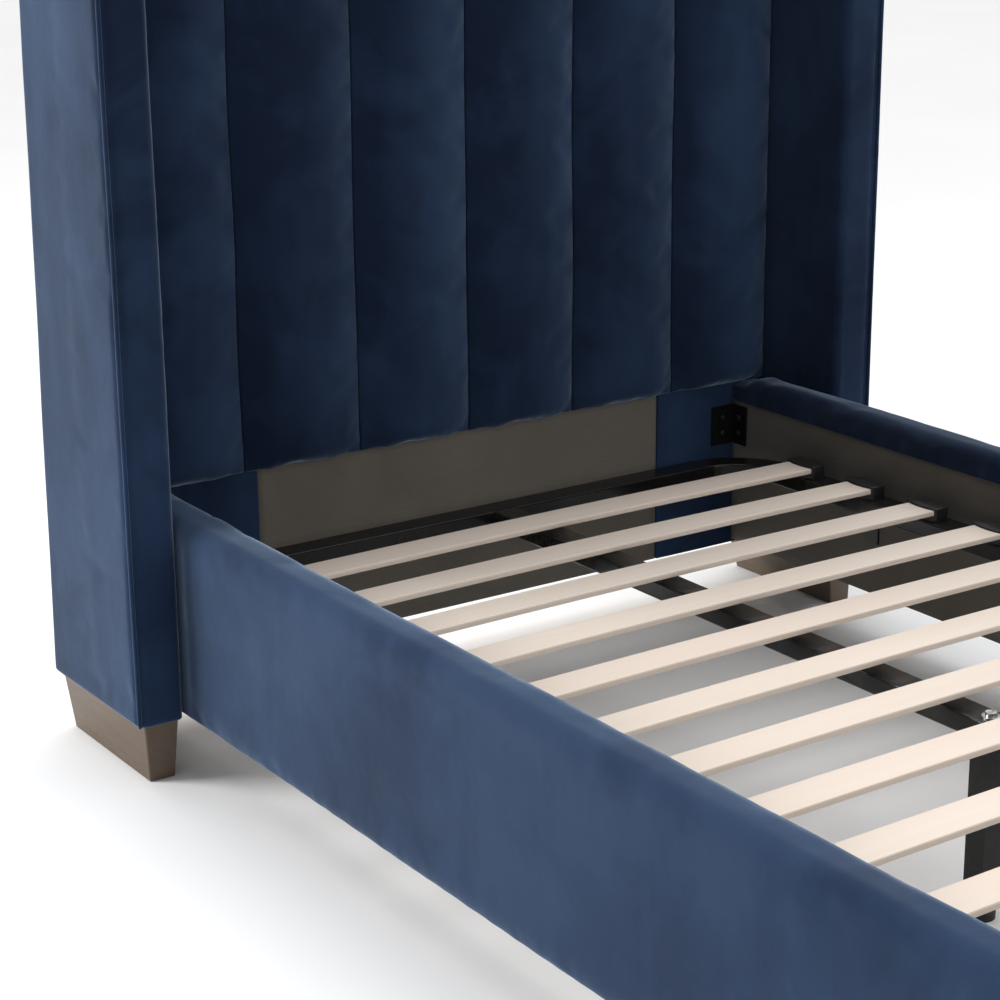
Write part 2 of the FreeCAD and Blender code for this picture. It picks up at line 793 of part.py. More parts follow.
def bent_band(name, outer_y, sign, inset, heights, overrun):
    """The U-shaped outline of a bent end tube, as a solid band with rounded corners.

    sign is 1 at the head and -1 at the foot. inset shrinks the band on both sides, and overrun
    makes its two open ends longer.
    """
    out = frame_half - inset
    inner = frame_half - S.tube_width + inset
    far = outer_y - inset * sign
    near = outer_y - (S.tube_width - inset) * sign
    open_end = outer_y - (S.bend_radius + S.bend_arm + overrun) * sign
    corners = (
        (out, open_end),
        (out, far),
        (-out, far),
        (-out, open_end),
        (-inner, open_end),
        (-inner, near),
        (inner, near),
        (inner, open_end),
    )
    body = prism(name, "XY_Plane", corners, *heights)

    def bend_at(y):
        def wanted(edge):
            return runs_along(edge, Z_AXIS) and abs(middle_of(edge).y - y.value) < TOLERANCE

        return wanted

    round_edges(body, S.bend_radius - inset, bend_at(far))
    round_edges(body, S.bend_radius - S.tube_width + inset, bend_at(near))
    return body


def end_tube(label, outer_y, sign):
    """A hollow tube, bent to a U, that closes one end of the frame."""
    outer = bent_band(f"{label}_outside", outer_y, sign, as_size(0), (S.tube_underside, tube_top), 0)

    def long_edge(edge):
        flat = edge.BoundBox.ZLength < TOLERANCE
        open_end = outer_y - (S.bend_radius + S.bend_arm) * sign
        return flat and abs(middle_of(edge).y - open_end.value) > TOLERANCE

    round_edges(outer, S.tube_edge, long_edge)
    bore = bent_band(
        f"{label}_bore",
        outer_y,
        sign,
        S.tube_wall,
        (S.tube_underside + S.tube_wall, tube_top - S.tube_wall),
        S.tube_wall,
    )
    piece(cut(label, outer, bore), label)


def straight_tube(name, xs, ys):
    """A straight hollow tube along the bed, open at both ends."""
    corners = (
        (xs[0], S.tube_underside),
        (xs[1], S.tube_underside),
        (xs[1], tube_top),
        (xs[0], tube_top),
    )
    outer = prism(f"{name}_outside", "XZ_Plane", corners, *ys)
    round_edges(outer, S.tube_edge, lambda edge: runs_along(edge, Y_AXIS))
    wall = S.tube_wall
    bore = block(
        f"{name}_bore",
        (xs[0] + wall, xs[1] - wall),
        (ys[0] - wall, ys[1] + wall),
        (S.tube_underside + wall, tube_top - wall),
    )
    return cut(f"{name}_tube", outer, bore)


def slat_frame():
    """Two bent end tubes, two side tubes and the centre beam."""
    end_tube("slat_frame_head_tube", frame_head, 1)
    end_tube("slat_frame_foot_tube", frame_foot, -1)
    reach = S.bend_radius + S.bend_arm
    for word, side in SIDES:
        name = f"slat_frame_side_tube_{word}"
        xs = across(side, frame_half - S.tube_width, frame_half)
        piece(straight_tube(name, xs, (frame_foot + reach, frame_head - reach)), name)
    half = S.tube_width / 2
    ys = (frame_foot + S.tube_width, frame_head - S.tube_width)
    beam = straight_tube("beam", (-half, half), ys)
    hole_radius = S.stud_radius + S.thread_clearance
    hole_start = S.tube_underside - S.tube_wall
    hole = rod("beam_hole", (0, frame_middle, hole_start), hole_radius, S.tube_height + S.tube_wall * 2)
    piece(cut("beam_with_hole", beam, hole), "centre_beam")


def slat(number):
    """One sprung slat, a bowed strip of laminated birch with rounded long edges."""
    name = f"slat_{number + 1:02d}"
    half = slat_half_length
    low = tube_top + S.slat_lift
    high = low + S.slat_thickness
    y = frame_middle + slat_pitch * ((SLAT_COUNT - 1) / 2 - number)
    corners = ((-half, low), (half, low), (half, high), (-half, high))
    bow = {0: -S.slat_bow, 2: S.slat_bow}
    ys = (y - S.slat_width / 2, y + S.slat_width / 2)
    body = prism(name, "XZ_Plane", corners, *ys, bulges=bow)
    round_edges(body, S.slat_edge, lambda edge: edge.Length > half.value)
    piece(body, name)


def slat_holders():
    """A plastic holder on the side tube for each end of each slat."""
    body = doc.addObject("PartDesign::Body", "holders")
    mouth = slat_half_length - S.holder_overlap
    back = slat_half_length + S.holder_end
    half = S.slat_width / 2 + S.holder_side
    first_y = frame_middle - slat_pitch * (SLAT_COUNT - 1) / 2
    slot_low = tube_top + S.slat_lift - S.slat_play
    slot_high = slot_low + S.slat_thickness + S.slat_play * 2
    height = slot_high + S.holder_roof - tube_top

    outline = sketch_on(body, "holder_outline", "XY_Plane", tube_top)
    corners = (
        (mouth, first_y + half),
        (mouth, first_y - half),
        (back, first_y - half),
        (back, first_y + half),
    )
    draw_outline(outline, corners, {0: S.holder_lip})
    pad = body.newObject("PartDesign::Pad", "holder_pad")
    pad.Profile = outline
    bind(pad, "Length", height)

    slot_half = S.slat_width / 2 + S.slat_play
    slot_outline = sketch_on(body, "slot_outline", "XY_Plane", slot_high)
    slot_start = mouth - S.holder_lip * 2
    slot_end = slat_half_length + S.slat_play
    slot_corners = (
        (slot_start, first_y - slot_half),
        (slot_end, first_y - slot_half),
        (slot_end, first_y + slot_half),
        (slot_start, first_y + slot_half),
    )
    draw_outline(slot_outline, slot_corners, {})
    slot = body.newObject("PartDesign::Pocket", "holder_slot")
    slot.Profile = slot_outline
    bind(slot, "Length", slot_high - slot_low)
    doc.recompute()
    if slot.Shape.Volume >= pad.Shape.Volume:
        raise ValueError("the slot cuts nothing from the holder")

    row = body.newObject("PartDesign::LinearPattern", "holder_row")
    row.Originals = [pad]
    row.TransformMode = "Whole shape"
    row.Direction = (outline, ["V_Axis"])
    bind(row, "Length", slat_pitch * (SLAT_COUNT - 1))
    row.Occurrences = SLAT_COUNT
    body.Tip = row
    doc.recompute()
    both = body.newObject("PartDesign::Mirrored", "holder_rows")
    both.Originals = [pad]
    both.TransformMode = "Whole shape"
    both.MirrorPlane = (origin_plane(body, "YZ_Plane"), [""])
    body.Tip = both
    doc.recompute()
    piece(body, "slat_holders")


# ---- Centre leg ----


def centre_leg():
    """A square steel leg under the beam, plugged at both ends, with a levelling foot."""
    half = S.centre_leg_width / 2
    bore_half = half - S.tube_wall
    bottom = S.centre_leg_end
    top = S.tube_underside
    outside = block(
        "centre_leg_outside", (-half, half), (frame_middle - half, frame_middle + half), (bottom, top)
    )
    inside = block(
        "centre_leg_inside",
        (-bore_half, bore_half),
        (frame_middle - bore_half, frame_middle + bore_half),
        (bottom + S.plug_depth, top - S.plug_depth),
    )
    thread = rod(
        "centre_leg_thread",
        (0, frame_middle, bottom - S.tube_wall),
        S.stud_radius + S.thread_clearance,
        top - bottom + S.tube_wall * 2,
    )
    hollow = fuse("centre_leg_hollow", [inside, thread])
    piece(cut("centre_leg_tube", outside, hollow), "centre_leg")

    pad = rod("foot_pad", (0, frame_middle, 0), S.foot_radius, S.foot_height)
    stud = rod("foot_stud", (0, frame_middle, 0), S.stud_radius, S.foot_height + S.stud_length)
    piece(fuse("foot_with_stud", [pad, stud]), "centre_leg_foot")

    washer_top = tube_top + S.washer_thickness
    washer = rod("washer_disc", (0, frame_middle, tube_top), S.washer_radius, S.washer_thickness)
    eye = rod(
        "washer_eye",
        (0, frame_middle, tube_top - S.washer_thickness),
        S.stud_radius + S.thread_clearance,
        S.washer_thickness * 3,
    )
    head = rod("bolt_head", (0, frame_middle, washer_top), S.bolt_head_radius, S.bolt_head_height)
    shank_start = (0, frame_middle, tube_top - S.bolt_reach)
    shank = rod("bolt_shank", shank_start, S.stud_radius, S.bolt_reach + S.washer_thickness)
    bolt = fuse("bolt", [head, shank])
    piece(group("bolt_and_washer", [bolt, cut("washer", washer, eye)]), "centre_leg_bolt")


# ---- The whole bed ----

headboard_timber()
headboard_channels()
headboard_lower_front()
wings()
wing_welts()
wing_bolts()
wooden_legs()
side_rails()
footboard()
bracket_screws = corner_brackets() + support_brackets()
piece(group("all_bracket_screws", bracket_screws), "bracket_screws")
slat_frame()
for slat_number in range(SLAT_COUNT):
    slat(slat_number)
slat_holders()
centre_leg()
doc.recompute()

for item in doc.Objects:
    if "Invalid" in item.State or "Error" in item.State:
        raise RuntimeError(f"{item.Name} failed: {item.State}")
for item in pieces:
    if item.Shape.isNull() or not item.Shape.isValid():
        raise RuntimeError(f"{item.Label} has no valid shape")
for item in pieces:
    item.Shape.exportStep(f"parts/{item.Label}.step")
print(len(pieces), "sub-parts written")
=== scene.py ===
import json
import math

import bmesh
import bpy
import numpy as np
from mathutils import Matrix, Vector, noise


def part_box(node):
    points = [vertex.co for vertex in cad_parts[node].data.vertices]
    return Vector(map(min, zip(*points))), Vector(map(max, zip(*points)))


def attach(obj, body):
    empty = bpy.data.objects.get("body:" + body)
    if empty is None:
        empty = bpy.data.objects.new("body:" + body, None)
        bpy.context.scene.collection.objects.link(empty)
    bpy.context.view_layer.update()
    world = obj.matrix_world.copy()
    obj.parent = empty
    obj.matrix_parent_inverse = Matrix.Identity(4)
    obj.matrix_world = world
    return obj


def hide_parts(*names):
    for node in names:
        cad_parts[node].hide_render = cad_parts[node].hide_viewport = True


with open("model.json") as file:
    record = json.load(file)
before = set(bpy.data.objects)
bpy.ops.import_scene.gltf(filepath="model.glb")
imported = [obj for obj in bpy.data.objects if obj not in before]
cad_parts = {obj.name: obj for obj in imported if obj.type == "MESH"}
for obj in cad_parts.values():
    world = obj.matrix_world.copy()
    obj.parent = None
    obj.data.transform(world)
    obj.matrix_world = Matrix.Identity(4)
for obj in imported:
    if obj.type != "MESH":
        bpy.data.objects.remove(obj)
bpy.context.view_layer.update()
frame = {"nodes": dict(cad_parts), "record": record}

# A single bed with a tall winged headboard in six padded channels, padded rails and a slat frame.
# Metres throughout. X runs across the bed, +Y is towards the headboard and Z is up.

MM = 0.001
SIDES = (("left", -1), ("right", 1))
CHANNELS = 6
SLATS = 14
SLAT_THICKNESS = 8.2 * MM
SLAT_BOW = 3 * MM
scene = bpy.context.scene


def corner(node, which, axis):
    """One coordinate of a CAD node's box: which is 0 for its low corner and 1 for its high one."""
    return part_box(node)[which]["xyz".index(axis)]


SEAM_PLANE = corner("post_cover_right", 0, "y")
RAIL_INNER = corner("side_rail_pad_right", 0, "x")
RAIL_OUTER = corner("side_rail_pad_right", 1, "x")
RAIL_TOP = corner("footboard_pad", 1, "z")
RAIL_BOTTOM = corner("side_rail_pad_right", 0, "z")
ROLL_BOTTOM = corner("side_rail_lining_right", 1, "z")
LINING_FACE = corner("side_rail_lining_right", 0, "x")
FOOT_INNER = corner("footboard_pad", 1, "y")


# ---- Small tools ----


def show(item):
    scene.collection.objects.link(item)
    return item


def new_piece(name, points, faces):
    """A smooth mesh object from an array of points and a list of faces."""
    mesh = bpy.data.meshes.new(name)
    mesh.from_pydata([tuple(point) for point in points], [], [tuple(face) for face in faces])
    mesh.update()
    mesh.polygons.foreach_set("use_smooth", [True] * len(mesh.polygons))
    return show(bpy.data.objects.new(name, mesh))


def points_of(mesh):
    flat = np.empty(len(mesh.vertices) * 3)
    mesh.vertices.foreach_get("co", flat)
    return flat.reshape(-1, 3)


def normals_of(mesh):
    flat = np.empty(len(mesh.vertices) * 3)
    mesh.vertices.foreach_get("normal", flat)
    return flat.reshape(-1, 3)


def move_points(item, points):
    item.data.vertices.foreach_set("co", points.astype(np.float32).ravel())
    item.data.update()


def smooth_step(values, low, high):
    """0 below low, 1 above high and a soft S between them."""
    share = np.clip((values - low) / (high - low), 0, 1)
    return share * share * (3 - 2 * share)


def soft_noise(points, scale, seed, octaves=2):
    """Smooth noise from about -1 to 1 at each point. scale is in bumps a metre along each axis."""
    shift = Vector((seed * 3.17, seed * 7.31, seed * 1.93))
    stretch = np.array(scale) * np.ones(3)
    return np.array(
        [noise.fractal(Vector(point) + shift, 1.0, 2.0, octaves) for point in points * stretch]
    )


def line_noise(values, second, third=0):
    """Smooth noise along a line, at each value."""
    return np.array([noise.noise(Vector((value, second, third))) for value in values])


def subdivide(item):
    modifier = item.modifiers.new("finer", "SUBSURF")
    modifier.levels = 1
    modifier.render_levels = 1


def paint_nap_and_shade(item, level, seed, painted_side_shade=0.0):
    """Stores a velvet tone at each point, from 0 dark to 1 light: cloudy patches of nap plus painted light
    and shade, which is a brightness given for each piece and a painted shade that darkens the piece towards
    -X and lightens it towards +X.
    """
    points = points_of(item.data)
    low, high = points.min(0), points.max(0)
    across = (points[:, 0] - low[0]) / (high[0] - low[0]) - 0.5
    cloud = soft_noise(points, (4, 4, 2.2), seed, 3)
    # Painted light and shade: level paints the brightness of the whole piece, and the term across X paints
    # its -X side darker and its +X side lighter. Only the cloud is nap.
    nap_and_painted_shade = np.clip(level + painted_side_shade * across + 0.5 * cloud, 0, 1)
    held = item.data.attributes.new("nap_and_painted_shade", "FLOAT", "POINT")
    held.data.foreach_set("value", nap_and_painted_shade.astype(np.float32))


def finish_piece(item, body, slot, stands_for=()):
    """Gives a piece the slot's material and its body, and hides the CAD nodes that it stands for."""
    item.data.materials.clear()
    item.data.materials.append(FINISHES[slot])
    if stands_for:
        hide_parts(*stands_for)
    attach(item, body)
    return item


def finish_velvet(item, stands_for, level, seed, painted_side_shade=0.0):
    """Stores a cover's nap patches together with its painted light and shade, smooths the cover and
    finishes it in velvet. level is the piece's painted brightness, and the last value paints its -X side
    darker and its +X side lighter.
    """
    paint_nap_and_shade(item, level, seed, painted_side_shade)
    subdivide(item)
    return finish_piece(item, "bed_box", "navy_velvet", stands_for)


# ---- Covers and their filling ----


def grid_lines(half, cell, bend_low, bend_high, extra=()):
    """Grid lines from -half to half, a cell apart, and closer together in the rounded ends."""
    share = np.tan(np.radians((15, 30, 45)))
    flat_low, flat_high = -half + bend_low, half - bend_high
    count = max(1, round((flat_high - flat_low) / cell))
    lines = np.concatenate(
        (
            flat_low - bend_low * share,
            np.linspace(flat_low, flat_high, count + 1),
            flat_high + bend_high * share,
            extra,
        )
    )
    lines = np.unique(np.round(lines, 7))
    kept = [lines[0]]
    for line in lines[1:]:
        if line - kept[-1] > 0.4 * MM:
            kept.append(line)
    return np.array(kept)


def padded_block(
    name, low, high, cell, top_radius, low_radius=None, end_axis=None, end_radius=None, extra=None
):
    """A closed box of quads with rounded edges, which may be rounder at the top than below.

    end_axis and end_radius give the two ends of a long piece a tighter rounding than its section.
    """
    low, high = np.array(low), np.array(high)
    middle, half = (low + high) / 2, (high - low) / 2
    low_radius = top_radius if low_radius is None else low_radius
    scale = np.ones(3)
    if end_axis is not None:
        scale[end_axis] = top_radius / end_radius
    half = half * scale
    extra = extra or {}
    lines = []
    for axis in range(3):
        bend = low_radius if axis == 2 else top_radius
        own = (np.array(extra.get(axis, ())) - middle[axis]) * scale[axis]
        lines.append(grid_lines(half[axis], cell * scale[axis], bend, top_radius, own))
    points, faces = [], []
    for axis in range(3):
        across, along = (axis + 1) % 3, (axis + 2) % 3
        for sign in (-1, 1):
            first = sum(len(block) for block in points)
            a, b = np.meshgrid(lines[across], lines[along], indexing="ij")
            block = np.empty((a.size, 3))
            block[:, across], block[:, along] = a.ravel(), b.ravel()
            block[:, axis] = sign * half[axis]
            points.append(block)
            rows, columns = a.shape
            for row in range(rows - 1):
                for column in range(columns - 1):
                    start = first + row * columns + column
                    quad = (start, start + columns, start + columns + 1, start + 1)
                    faces.append(quad if sign > 0 else quad[::-1])
    points = np.concatenate(points)
    share = smooth_step(points[:, 2], -half[2] * 0.5, half[2] * 0.8)
    radius = low_radius + (top_radius - low_radius) * share
    room = half - radius[:, None]
    inside = np.clip(points, -room, room)
    away = points - inside
    points = inside + away / np.linalg.norm(away, axis=1)[:, None] * radius[:, None]
    _, keep, where = np.unique(np.round(points, 6), axis=0, return_index=True, return_inverse=True)
    where = where.ravel()
    points = points[keep] / scale + middle
    merged = [tuple(dict.fromkeys(int(where[index]) for index in face)) for face in faces]
    return new_piece(name, points, [face for face in merged if len(face) > 2])


FILL_FRAMES = 16


def fill(item, held, pressure, cap):
    """Fills a cover by cloth simulation. held gives how firmly each point is fixed, from 0 to 1."""
    start = points_of(item.data)
    group = item.vertex_groups.new(name="held")
    weights = held(start)
    for level in np.unique(np.round(weights, 1)):
        members = np.flatnonzero(np.round(weights, 1) == level)
        group.add([int(index) for index in members], float(level), "REPLACE")
    cloth = item.modifiers.new("filling", "CLOTH")
    settings = cloth.settings
    settings.quality = 4
    settings.mass = 0.15
    settings.tension_stiffness = 20
    settings.compression_stiffness = 8
    settings.shear_stiffness = 5
    settings.bending_stiffness = 1.5
    settings.use_pressure = True
    settings.uniform_pressure_force = pressure
    settings.shrink_min = -0.012
    settings.vertex_group_mass = "held"
    settings.pin_stiffness = 1
    settings.effector_weights.gravity = 0
    cloth.collision_settings.use_collision = False
    cloth.point_cache.frame_end = FILL_FRAMES
    for step in range(1, FILL_FRAMES + 1):
        scene.frame_set(step)
    shaped = item.evaluated_get(bpy.context.evaluated_depsgraph_get())
    moved = points_of(shaped.data) - start
    item.modifiers.remove(cloth)
    item.vertex_groups.remove(group)
    scene.frame_set(1)
    length = np.linalg.norm(moved, axis=1)
    limit = cap * np.tanh(length / cap) / np.maximum(length, 1e-9) * (1 - weights)
    move_points(item, start + moved * limit[:, None])


def push_out(item, amount):
    """Moves each point along its normal by its own amount."""
    points = points_of(item.data)
    move_points(item, points + normals_of(item.data) * amount[:, None])


def puckers(along, distance, spacing, depth, reach, seed):
    """Small folds that run away from a seam and die out over reach."""
    wander = line_noise(along * 7, seed)
    wave = np.sin((along / spacing + wander * 1.6) * 2 * math.pi)
    strength = 0.5 + 0.5 * line_noise(along * 11, seed + 5)
    return wave * strength * depth * np.exp(-np.abs(distance) / reach)


# ---- Headboard ----


def seam_shift(heights, seam):
    """How far the upright seam between two channels strays to the side at each height."""
    if seam in (0, CHANNELS):
        return np.zeros(len(heights))
    return line_noise(heights * 4.5, seam * 4.7, 1) * 3.6 * MM


def channel(number):
    """One upright padded channel: round across, tucked in at its bottom and rolled over at its top."""
    node = f"headboard_channel_{number + 1}"
    low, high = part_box(node)
    crown = SEAM_PLANE - low.y
    width = high.x - low.x
    middle = (low.x + high.x) / 2
    item = padded_block(
        f"channel_cover_{number + 1}",
        (low.x, SEAM_PLANE - 1 * MM, low.z),
        (high.x, high.y, high.z),
        9 * MM,
        2.5 * MM,
    )
    points = points_of(item.data)
    share = np.clip(np.abs(points[:, 0] - middle) / (width / 2), 0, 1)
    front = smooth_step(high.y - points[:, 1], 2 * MM, 6 * MM)
    tuck = np.clip((points[:, 2] - low.z) / (30 * MM), 0, 1)
    roll = np.clip((high.z - points[:, 2]) / (34 * MM), 0, 1)
    ends = (1 - (1 - tuck) ** 2.4) ** 0.55 * (1 - (1 - roll) ** 2.2) ** 0.5
    across = np.clip(1 - share**2.3, 0, 1) ** 0.8
    points[:, 1] -= (crown - 3.2 * MM) * across * ends * front
    for seam, side in ((number, -1), (number + 1, 1)):
        near = np.clip((points[:, 0] - middle) * side / (width / 2), 0, 1) ** 4
        points[:, 0] += seam_shift(points[:, 2], seam) * near
    move_points(item, points)
    fill(item, lambda at: np.where(at[:, 1] > SEAM_PLANE - 2.5 * MM, 1.0, 0.0), 1.6, 5 * MM)

    points = points_of(item.data)
    free = smooth_step(SEAM_PLANE - points[:, 1], 0, 8 * MM)
    side_gap = width / 2 - np.abs(points[:, 0] - middle)
    swell = soft_noise(points, (9, 9, 3.2), number + 1) * 1.5 * MM
    swell += soft_noise(points, (22, 22, 9), number + 11) * 0.5 * MM
    swell += puckers(points[:, 2], side_gap, 46 * MM, 0.5 * MM, 14 * MM, number + 3)
    swell += puckers(points[:, 0], points[:, 2] - low.z, 19 * MM, 1.2 * MM, 30 * MM, number + 9)
    push_out(item, swell * free)
    # Painted light and shade: the channels are painted lighter one by one towards +X, and each one is
    # painted darker on its -X side and lighter on its +X side.
    finish_velvet(item, [node], 0.34 + 0.04 * number, number + 21, 0.8)


def post_cover(word):
    """The velvet over a headboard post, below the channels, with a little wadding behind it."""
    node = f"post_cover_{word}"
    low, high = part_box(node)
    item = padded_block(f"post_velvet_{word}", low, high, 9 * MM, 2.2 * MM)
    points = points_of(item.data)
    room = np.minimum(np.minimum(points[:, 0] - low.x, high.x - points[:, 0]), high.z - points[:, 2])
    swell = smooth_step(room, 0, 30 * MM) * 1.2 * MM
    swell += soft_noise(points, (14, 14, 6), 31) * 0.9 * MM
    swell += puckers(points[:, 0], high.z - points[:, 2], 24 * MM, 0.9 * MM, 50 * MM, 33)
    front = smooth_step(high.y - points[:, 1], 3 * MM, 5 * MM)
    points[:, 1] -= swell * front
    move_points(item, points)
    # Painted light: the post covers are painted a little lighter than the back panel and the footboard.
    finish_velvet(item, [node], 0.55, 35)


def back_panel():
    """The velvet-covered back, whose cloth is turned forwards over the top of the timber."""
    low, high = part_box("headboard_back_panel")
    thickness = high.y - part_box("headboard_post_left")[1].y
    item = padded_block("headboard_back", (low.x, high.y - thickness, low.z), high, 14 * MM, 1.9 * MM)
    points = points_of(item.data)
    edge = np.minimum(points[:, 0] - low.x, high.x - points[:, 0])
    rise = np.minimum(points[:, 2] - low.z, high.z - points[:, 2])
    outer = smooth_step(points[:, 1], high.y - thickness, high.y)
    sag = -smooth_step(np.minimum(edge, rise), 0, 60 * MM) * 0.8 * MM
    sag += soft_noise(points, (5, 5, 4), 41) * 0.7 * MM
    sag += puckers(points[:, 2], edge, 60 * MM, 0.5 * MM, 40 * MM, 43)
    points[:, 1] += sag * outer
    move_points(item, points)
    finish_velvet(item, ["headboard_back_panel"], 0.5, 47)
    top = padded_block(
        "headboard_top_turnover",
        (low.x, low.y, corner("headboard_front_board", 1, "z")),
        (high.x, high.y - thickness * 0.5, high.z + 1 * MM),
        12 * MM,
        2.6 * MM,
    )
    points = points_of(top.data)
    points[:, 2] += soft_noise(points, (12, 8, 8), 45) * 0.6 * MM
    move_points(top, points)
    finish_velvet(top, (), 0.5, 48)


# ---- Wings ----


def wing(word, side):
    """A padded wing, with the piping sewn in along its outer front edge."""
    node = f"wing_pad_{word}"
    low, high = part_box(node)
    item = padded_block(
        f"wing_cover_{word}",
        (low.x, low.y, low.z - 0.6 * MM),
        (high.x, high.y, high.z),
        12 * MM,
        9 * MM,
        8 * MM,
        extra={
            0: (low.x + 11 * MM, low.x + 18 * MM, high.x - 18 * MM, high.x - 11 * MM),
            1: (low.y + 11 * MM, low.y + 16 * MM, low.y + 21 * MM),
        },
    )
    slope = wing_back_slope(word)
    points = points_of(item.data)
    height = (points[:, 2] - low.z) / (high.z - low.z)
    depth = high.y - low.y
    points[:, 1] = low.y + (points[:, 1] - low.y) * (1 - slope / depth * height)
    round_off(points, low.x if side > 0 else high.x, side, low.y, 13 * MM)
    move_points(item, points)
    fill(item, lambda at: wing_holds(at, low, high), 0.3, 0.9 * MM)

    points = points_of(item.data)
    outer_x = high.x if side > 0 else low.x
    from_outer = np.abs(points[:, 0] - outer_x)
    from_front = points[:, 1] - low.y
    swell = soft_noise(points, (7, 6, 3), 51 + side) * 0.8 * MM
    swell += soft_noise(points, (26, 18, 8), 53 + side) * 0.3 * MM
    swell += puckers(points[:, 2], from_front, 38 * MM, 0.4 * MM, 22 * MM, 55 + side)
    on_front = smooth_step(from_outer, 4 * MM, 14 * MM) * smooth_step(-from_front, -9 * MM, -1 * MM)
    swell += soft_noise(points, (60, 20, 9), 57 + side) * 0.7 * MM * on_front
    # The cloth dips on both sides of the piping.
    swell -= 2.4 * MM * np.exp(-((np.hypot(from_outer, from_front) - 8.5 * MM) / (2.8 * MM)) ** 2)
    push_out(item, swell)
    # Painted light and shade: the right wing is painted lighter and the left wing darker.
    finish_velvet(item, [node], 0.52 + 0.12 * side, 59 + side)


def round_off(points, face, way, front, radius):
    """Rounds the upright edge between a face across X and the front, to a larger radius."""
    depth = np.stack(((points[:, 0] - face) * way, points[:, 1] - front), axis=1)
    room = radius - depth
    reach = np.linalg.norm(room, axis=1)
    outside = (depth < radius).all(axis=1) & (reach > radius)
    pulled = radius - room * (radius / np.maximum(reach, 1 * MM))[:, None]
    points[outside, 0] = face + pulled[outside, 0] * way
    points[outside, 1] = front + pulled[outside, 1]


def wing_back_slope(word):
    """How far a wing's back edge leans forwards from its bottom to its top."""
    mesh = frame["nodes"][f"wing_pad_{word}"].data
    points = points_of(mesh)
    top = points[points[:, 2] > points[:, 2].max() - 60 * MM]
    return points[:, 1].max() - top[:, 1].max()


def wing_holds(at, low, high):
    """The wing's cover is held at its underside, along its front seams and where it meets the bed."""
    underside = 1 - smooth_step(at[:, 2], low.z + 4 * MM, low.z + 30 * MM)
    edge = np.minimum(at[:, 0] - low.x, high.x - at[:, 0]) < 10 * MM
    front_edges = (at[:, 1] < low.y + 10 * MM) & edge
    back = smooth_step(at[:, 1], high.y - 170 * MM, high.y - 70 * MM)
    return np.maximum(np.maximum(underside, back), front_edges * 1.0)


def wing_welt(word, side):
    """A thin velvet cord along the wing's outer front edge, closed at both ends."""
    low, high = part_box(f"wing_pad_{word}")
    radius = 3.3 * MM
    outer_x = high.x if side > 0 else low.x
    centre = np.array((outer_x - side * 0.8 * MM, low.y + 0.8 * MM))
    rings, around = 220, 10
    points, faces = [], []
    heights = np.linspace(low.z + 2 * MM, high.z - 3 * MM, rings)
    for ring, height in enumerate(heights):
        shape = radius * (0.35 if ring in (0, rings - 1) else 1)
        shape *= 1 + 0.07 * noise.noise(Vector((height * 60, side, 3)))
        stray = noise.noise(Vector((height * 5, side, 9))) * 0.7 * MM
        for step in range(around):
            angle = 2 * math.pi * step / around
            x = centre[0] + shape * math.cos(angle) + stray * side
            y = centre[1] + shape * math.sin(angle) + stray * 0.5
            points.append((x, y, height))
    for ring in range(rings - 1):
        for step in range(around):
            a, b = ring * around + step, ring * around + (step + 1) % around
            faces.append((a, b, b + around, a + around))
    faces.append(tuple(range(around))[::-1])
    faces.append(tuple(range((rings - 1) * around, rings * around)))
    item = new_piece(f"wing_piping_{word}", points, faces)
    return finish_velvet(item, (), 0.6, 60)


# ---- Rails ----


def rail_block(name, low, high, along):
    """A rail's cover as a block with a round top, along X (0) or Y (1)."""
    near_roll = [ROLL_BOTTOM + shift * MM for shift in (-8, -4.5, -3, -1.5, -0.3, 1.5, 4, 8)]
    return padded_block(
        name,
        (low[0], low[1], RAIL_BOTTOM - 0.5 * MM),
        (high[0], high[1], RAIL_TOP),
        12 * MM,
        21 * MM,
        7 * MM,
        end_axis=along,
        end_radius=2 * MM if along == 1 else 8 * MM,
        extra={2: near_roll},
    )


def turn_under(item, across, inner, outward):
    """Sinks the inner face below the roll, so that the velvet laps over the top of the lining."""
    points = points_of(item.data)
    below = 1 - smooth_step(points[:, 2], ROLL_BOTTOM - 3.5 * MM, ROLL_BOTTOM + 0.5 * MM)
    near = 1 - smooth_step((points[:, across] - inner) * outward, 8 * MM, 22 * MM)
    if across == 1:
        near *= 1 - smooth_step(np.abs(points[:, 0]), RAIL_INNER + 2 * MM, RAIL_INNER + 12 * MM)
    points[:, across] += below * near * outward * 7 * MM
    move_points(item, points)


def rail_undulation(item, along, across, inner, outward, seed):
    """The soft unevenness of velvet over foam on a rail's outer face and top."""
    points = points_of(item.data)
    scale = [10, 10, 10]
    scale[along] = 3
    roll = smooth_step(points[:, 2], ROLL_BOTTOM - 2 * MM, ROLL_BOTTOM + 2 * MM)
    outer = smooth_step((points[:, across] - inner) * outward, 20 * MM, 40 * MM)
    swell = soft_noise(points, scale, seed) * 1.3 * MM
    swell += soft_noise(points, [value * 2.7 for value in scale], seed + 1) * 0.45 * MM
    distance = np.where(outer > 0.5, points[:, 2] - RAIL_BOTTOM, points[:, 2] - ROLL_BOTTOM)
    swell += puckers(points[:, along], distance, 42 * MM, 0.7 * MM, 26 * MM, seed + 2)
    push_out(item, swell * np.maximum(roll, outer))


def stay_between(item, word, side):
    """Keeps a side rail's cover clear of the wing, the headboard and the footboard."""
    points = points_of(item.data)
    wing_front = corner(f"wing_pad_{word}", 0, "y")
    beside = smooth_step(points[:, 1], wing_front - 45 * MM, wing_front - 5 * MM)
    room = RAIL_OUTER + 12 * MM * (1 - beside)
    points[:, 0] = np.minimum(points[:, 0] * side, room) * side
    points[:, 1] = np.clip(points[:, 1], FOOT_INNER, SEAM_PLANE - 2 * MM)
    move_points(item, points)


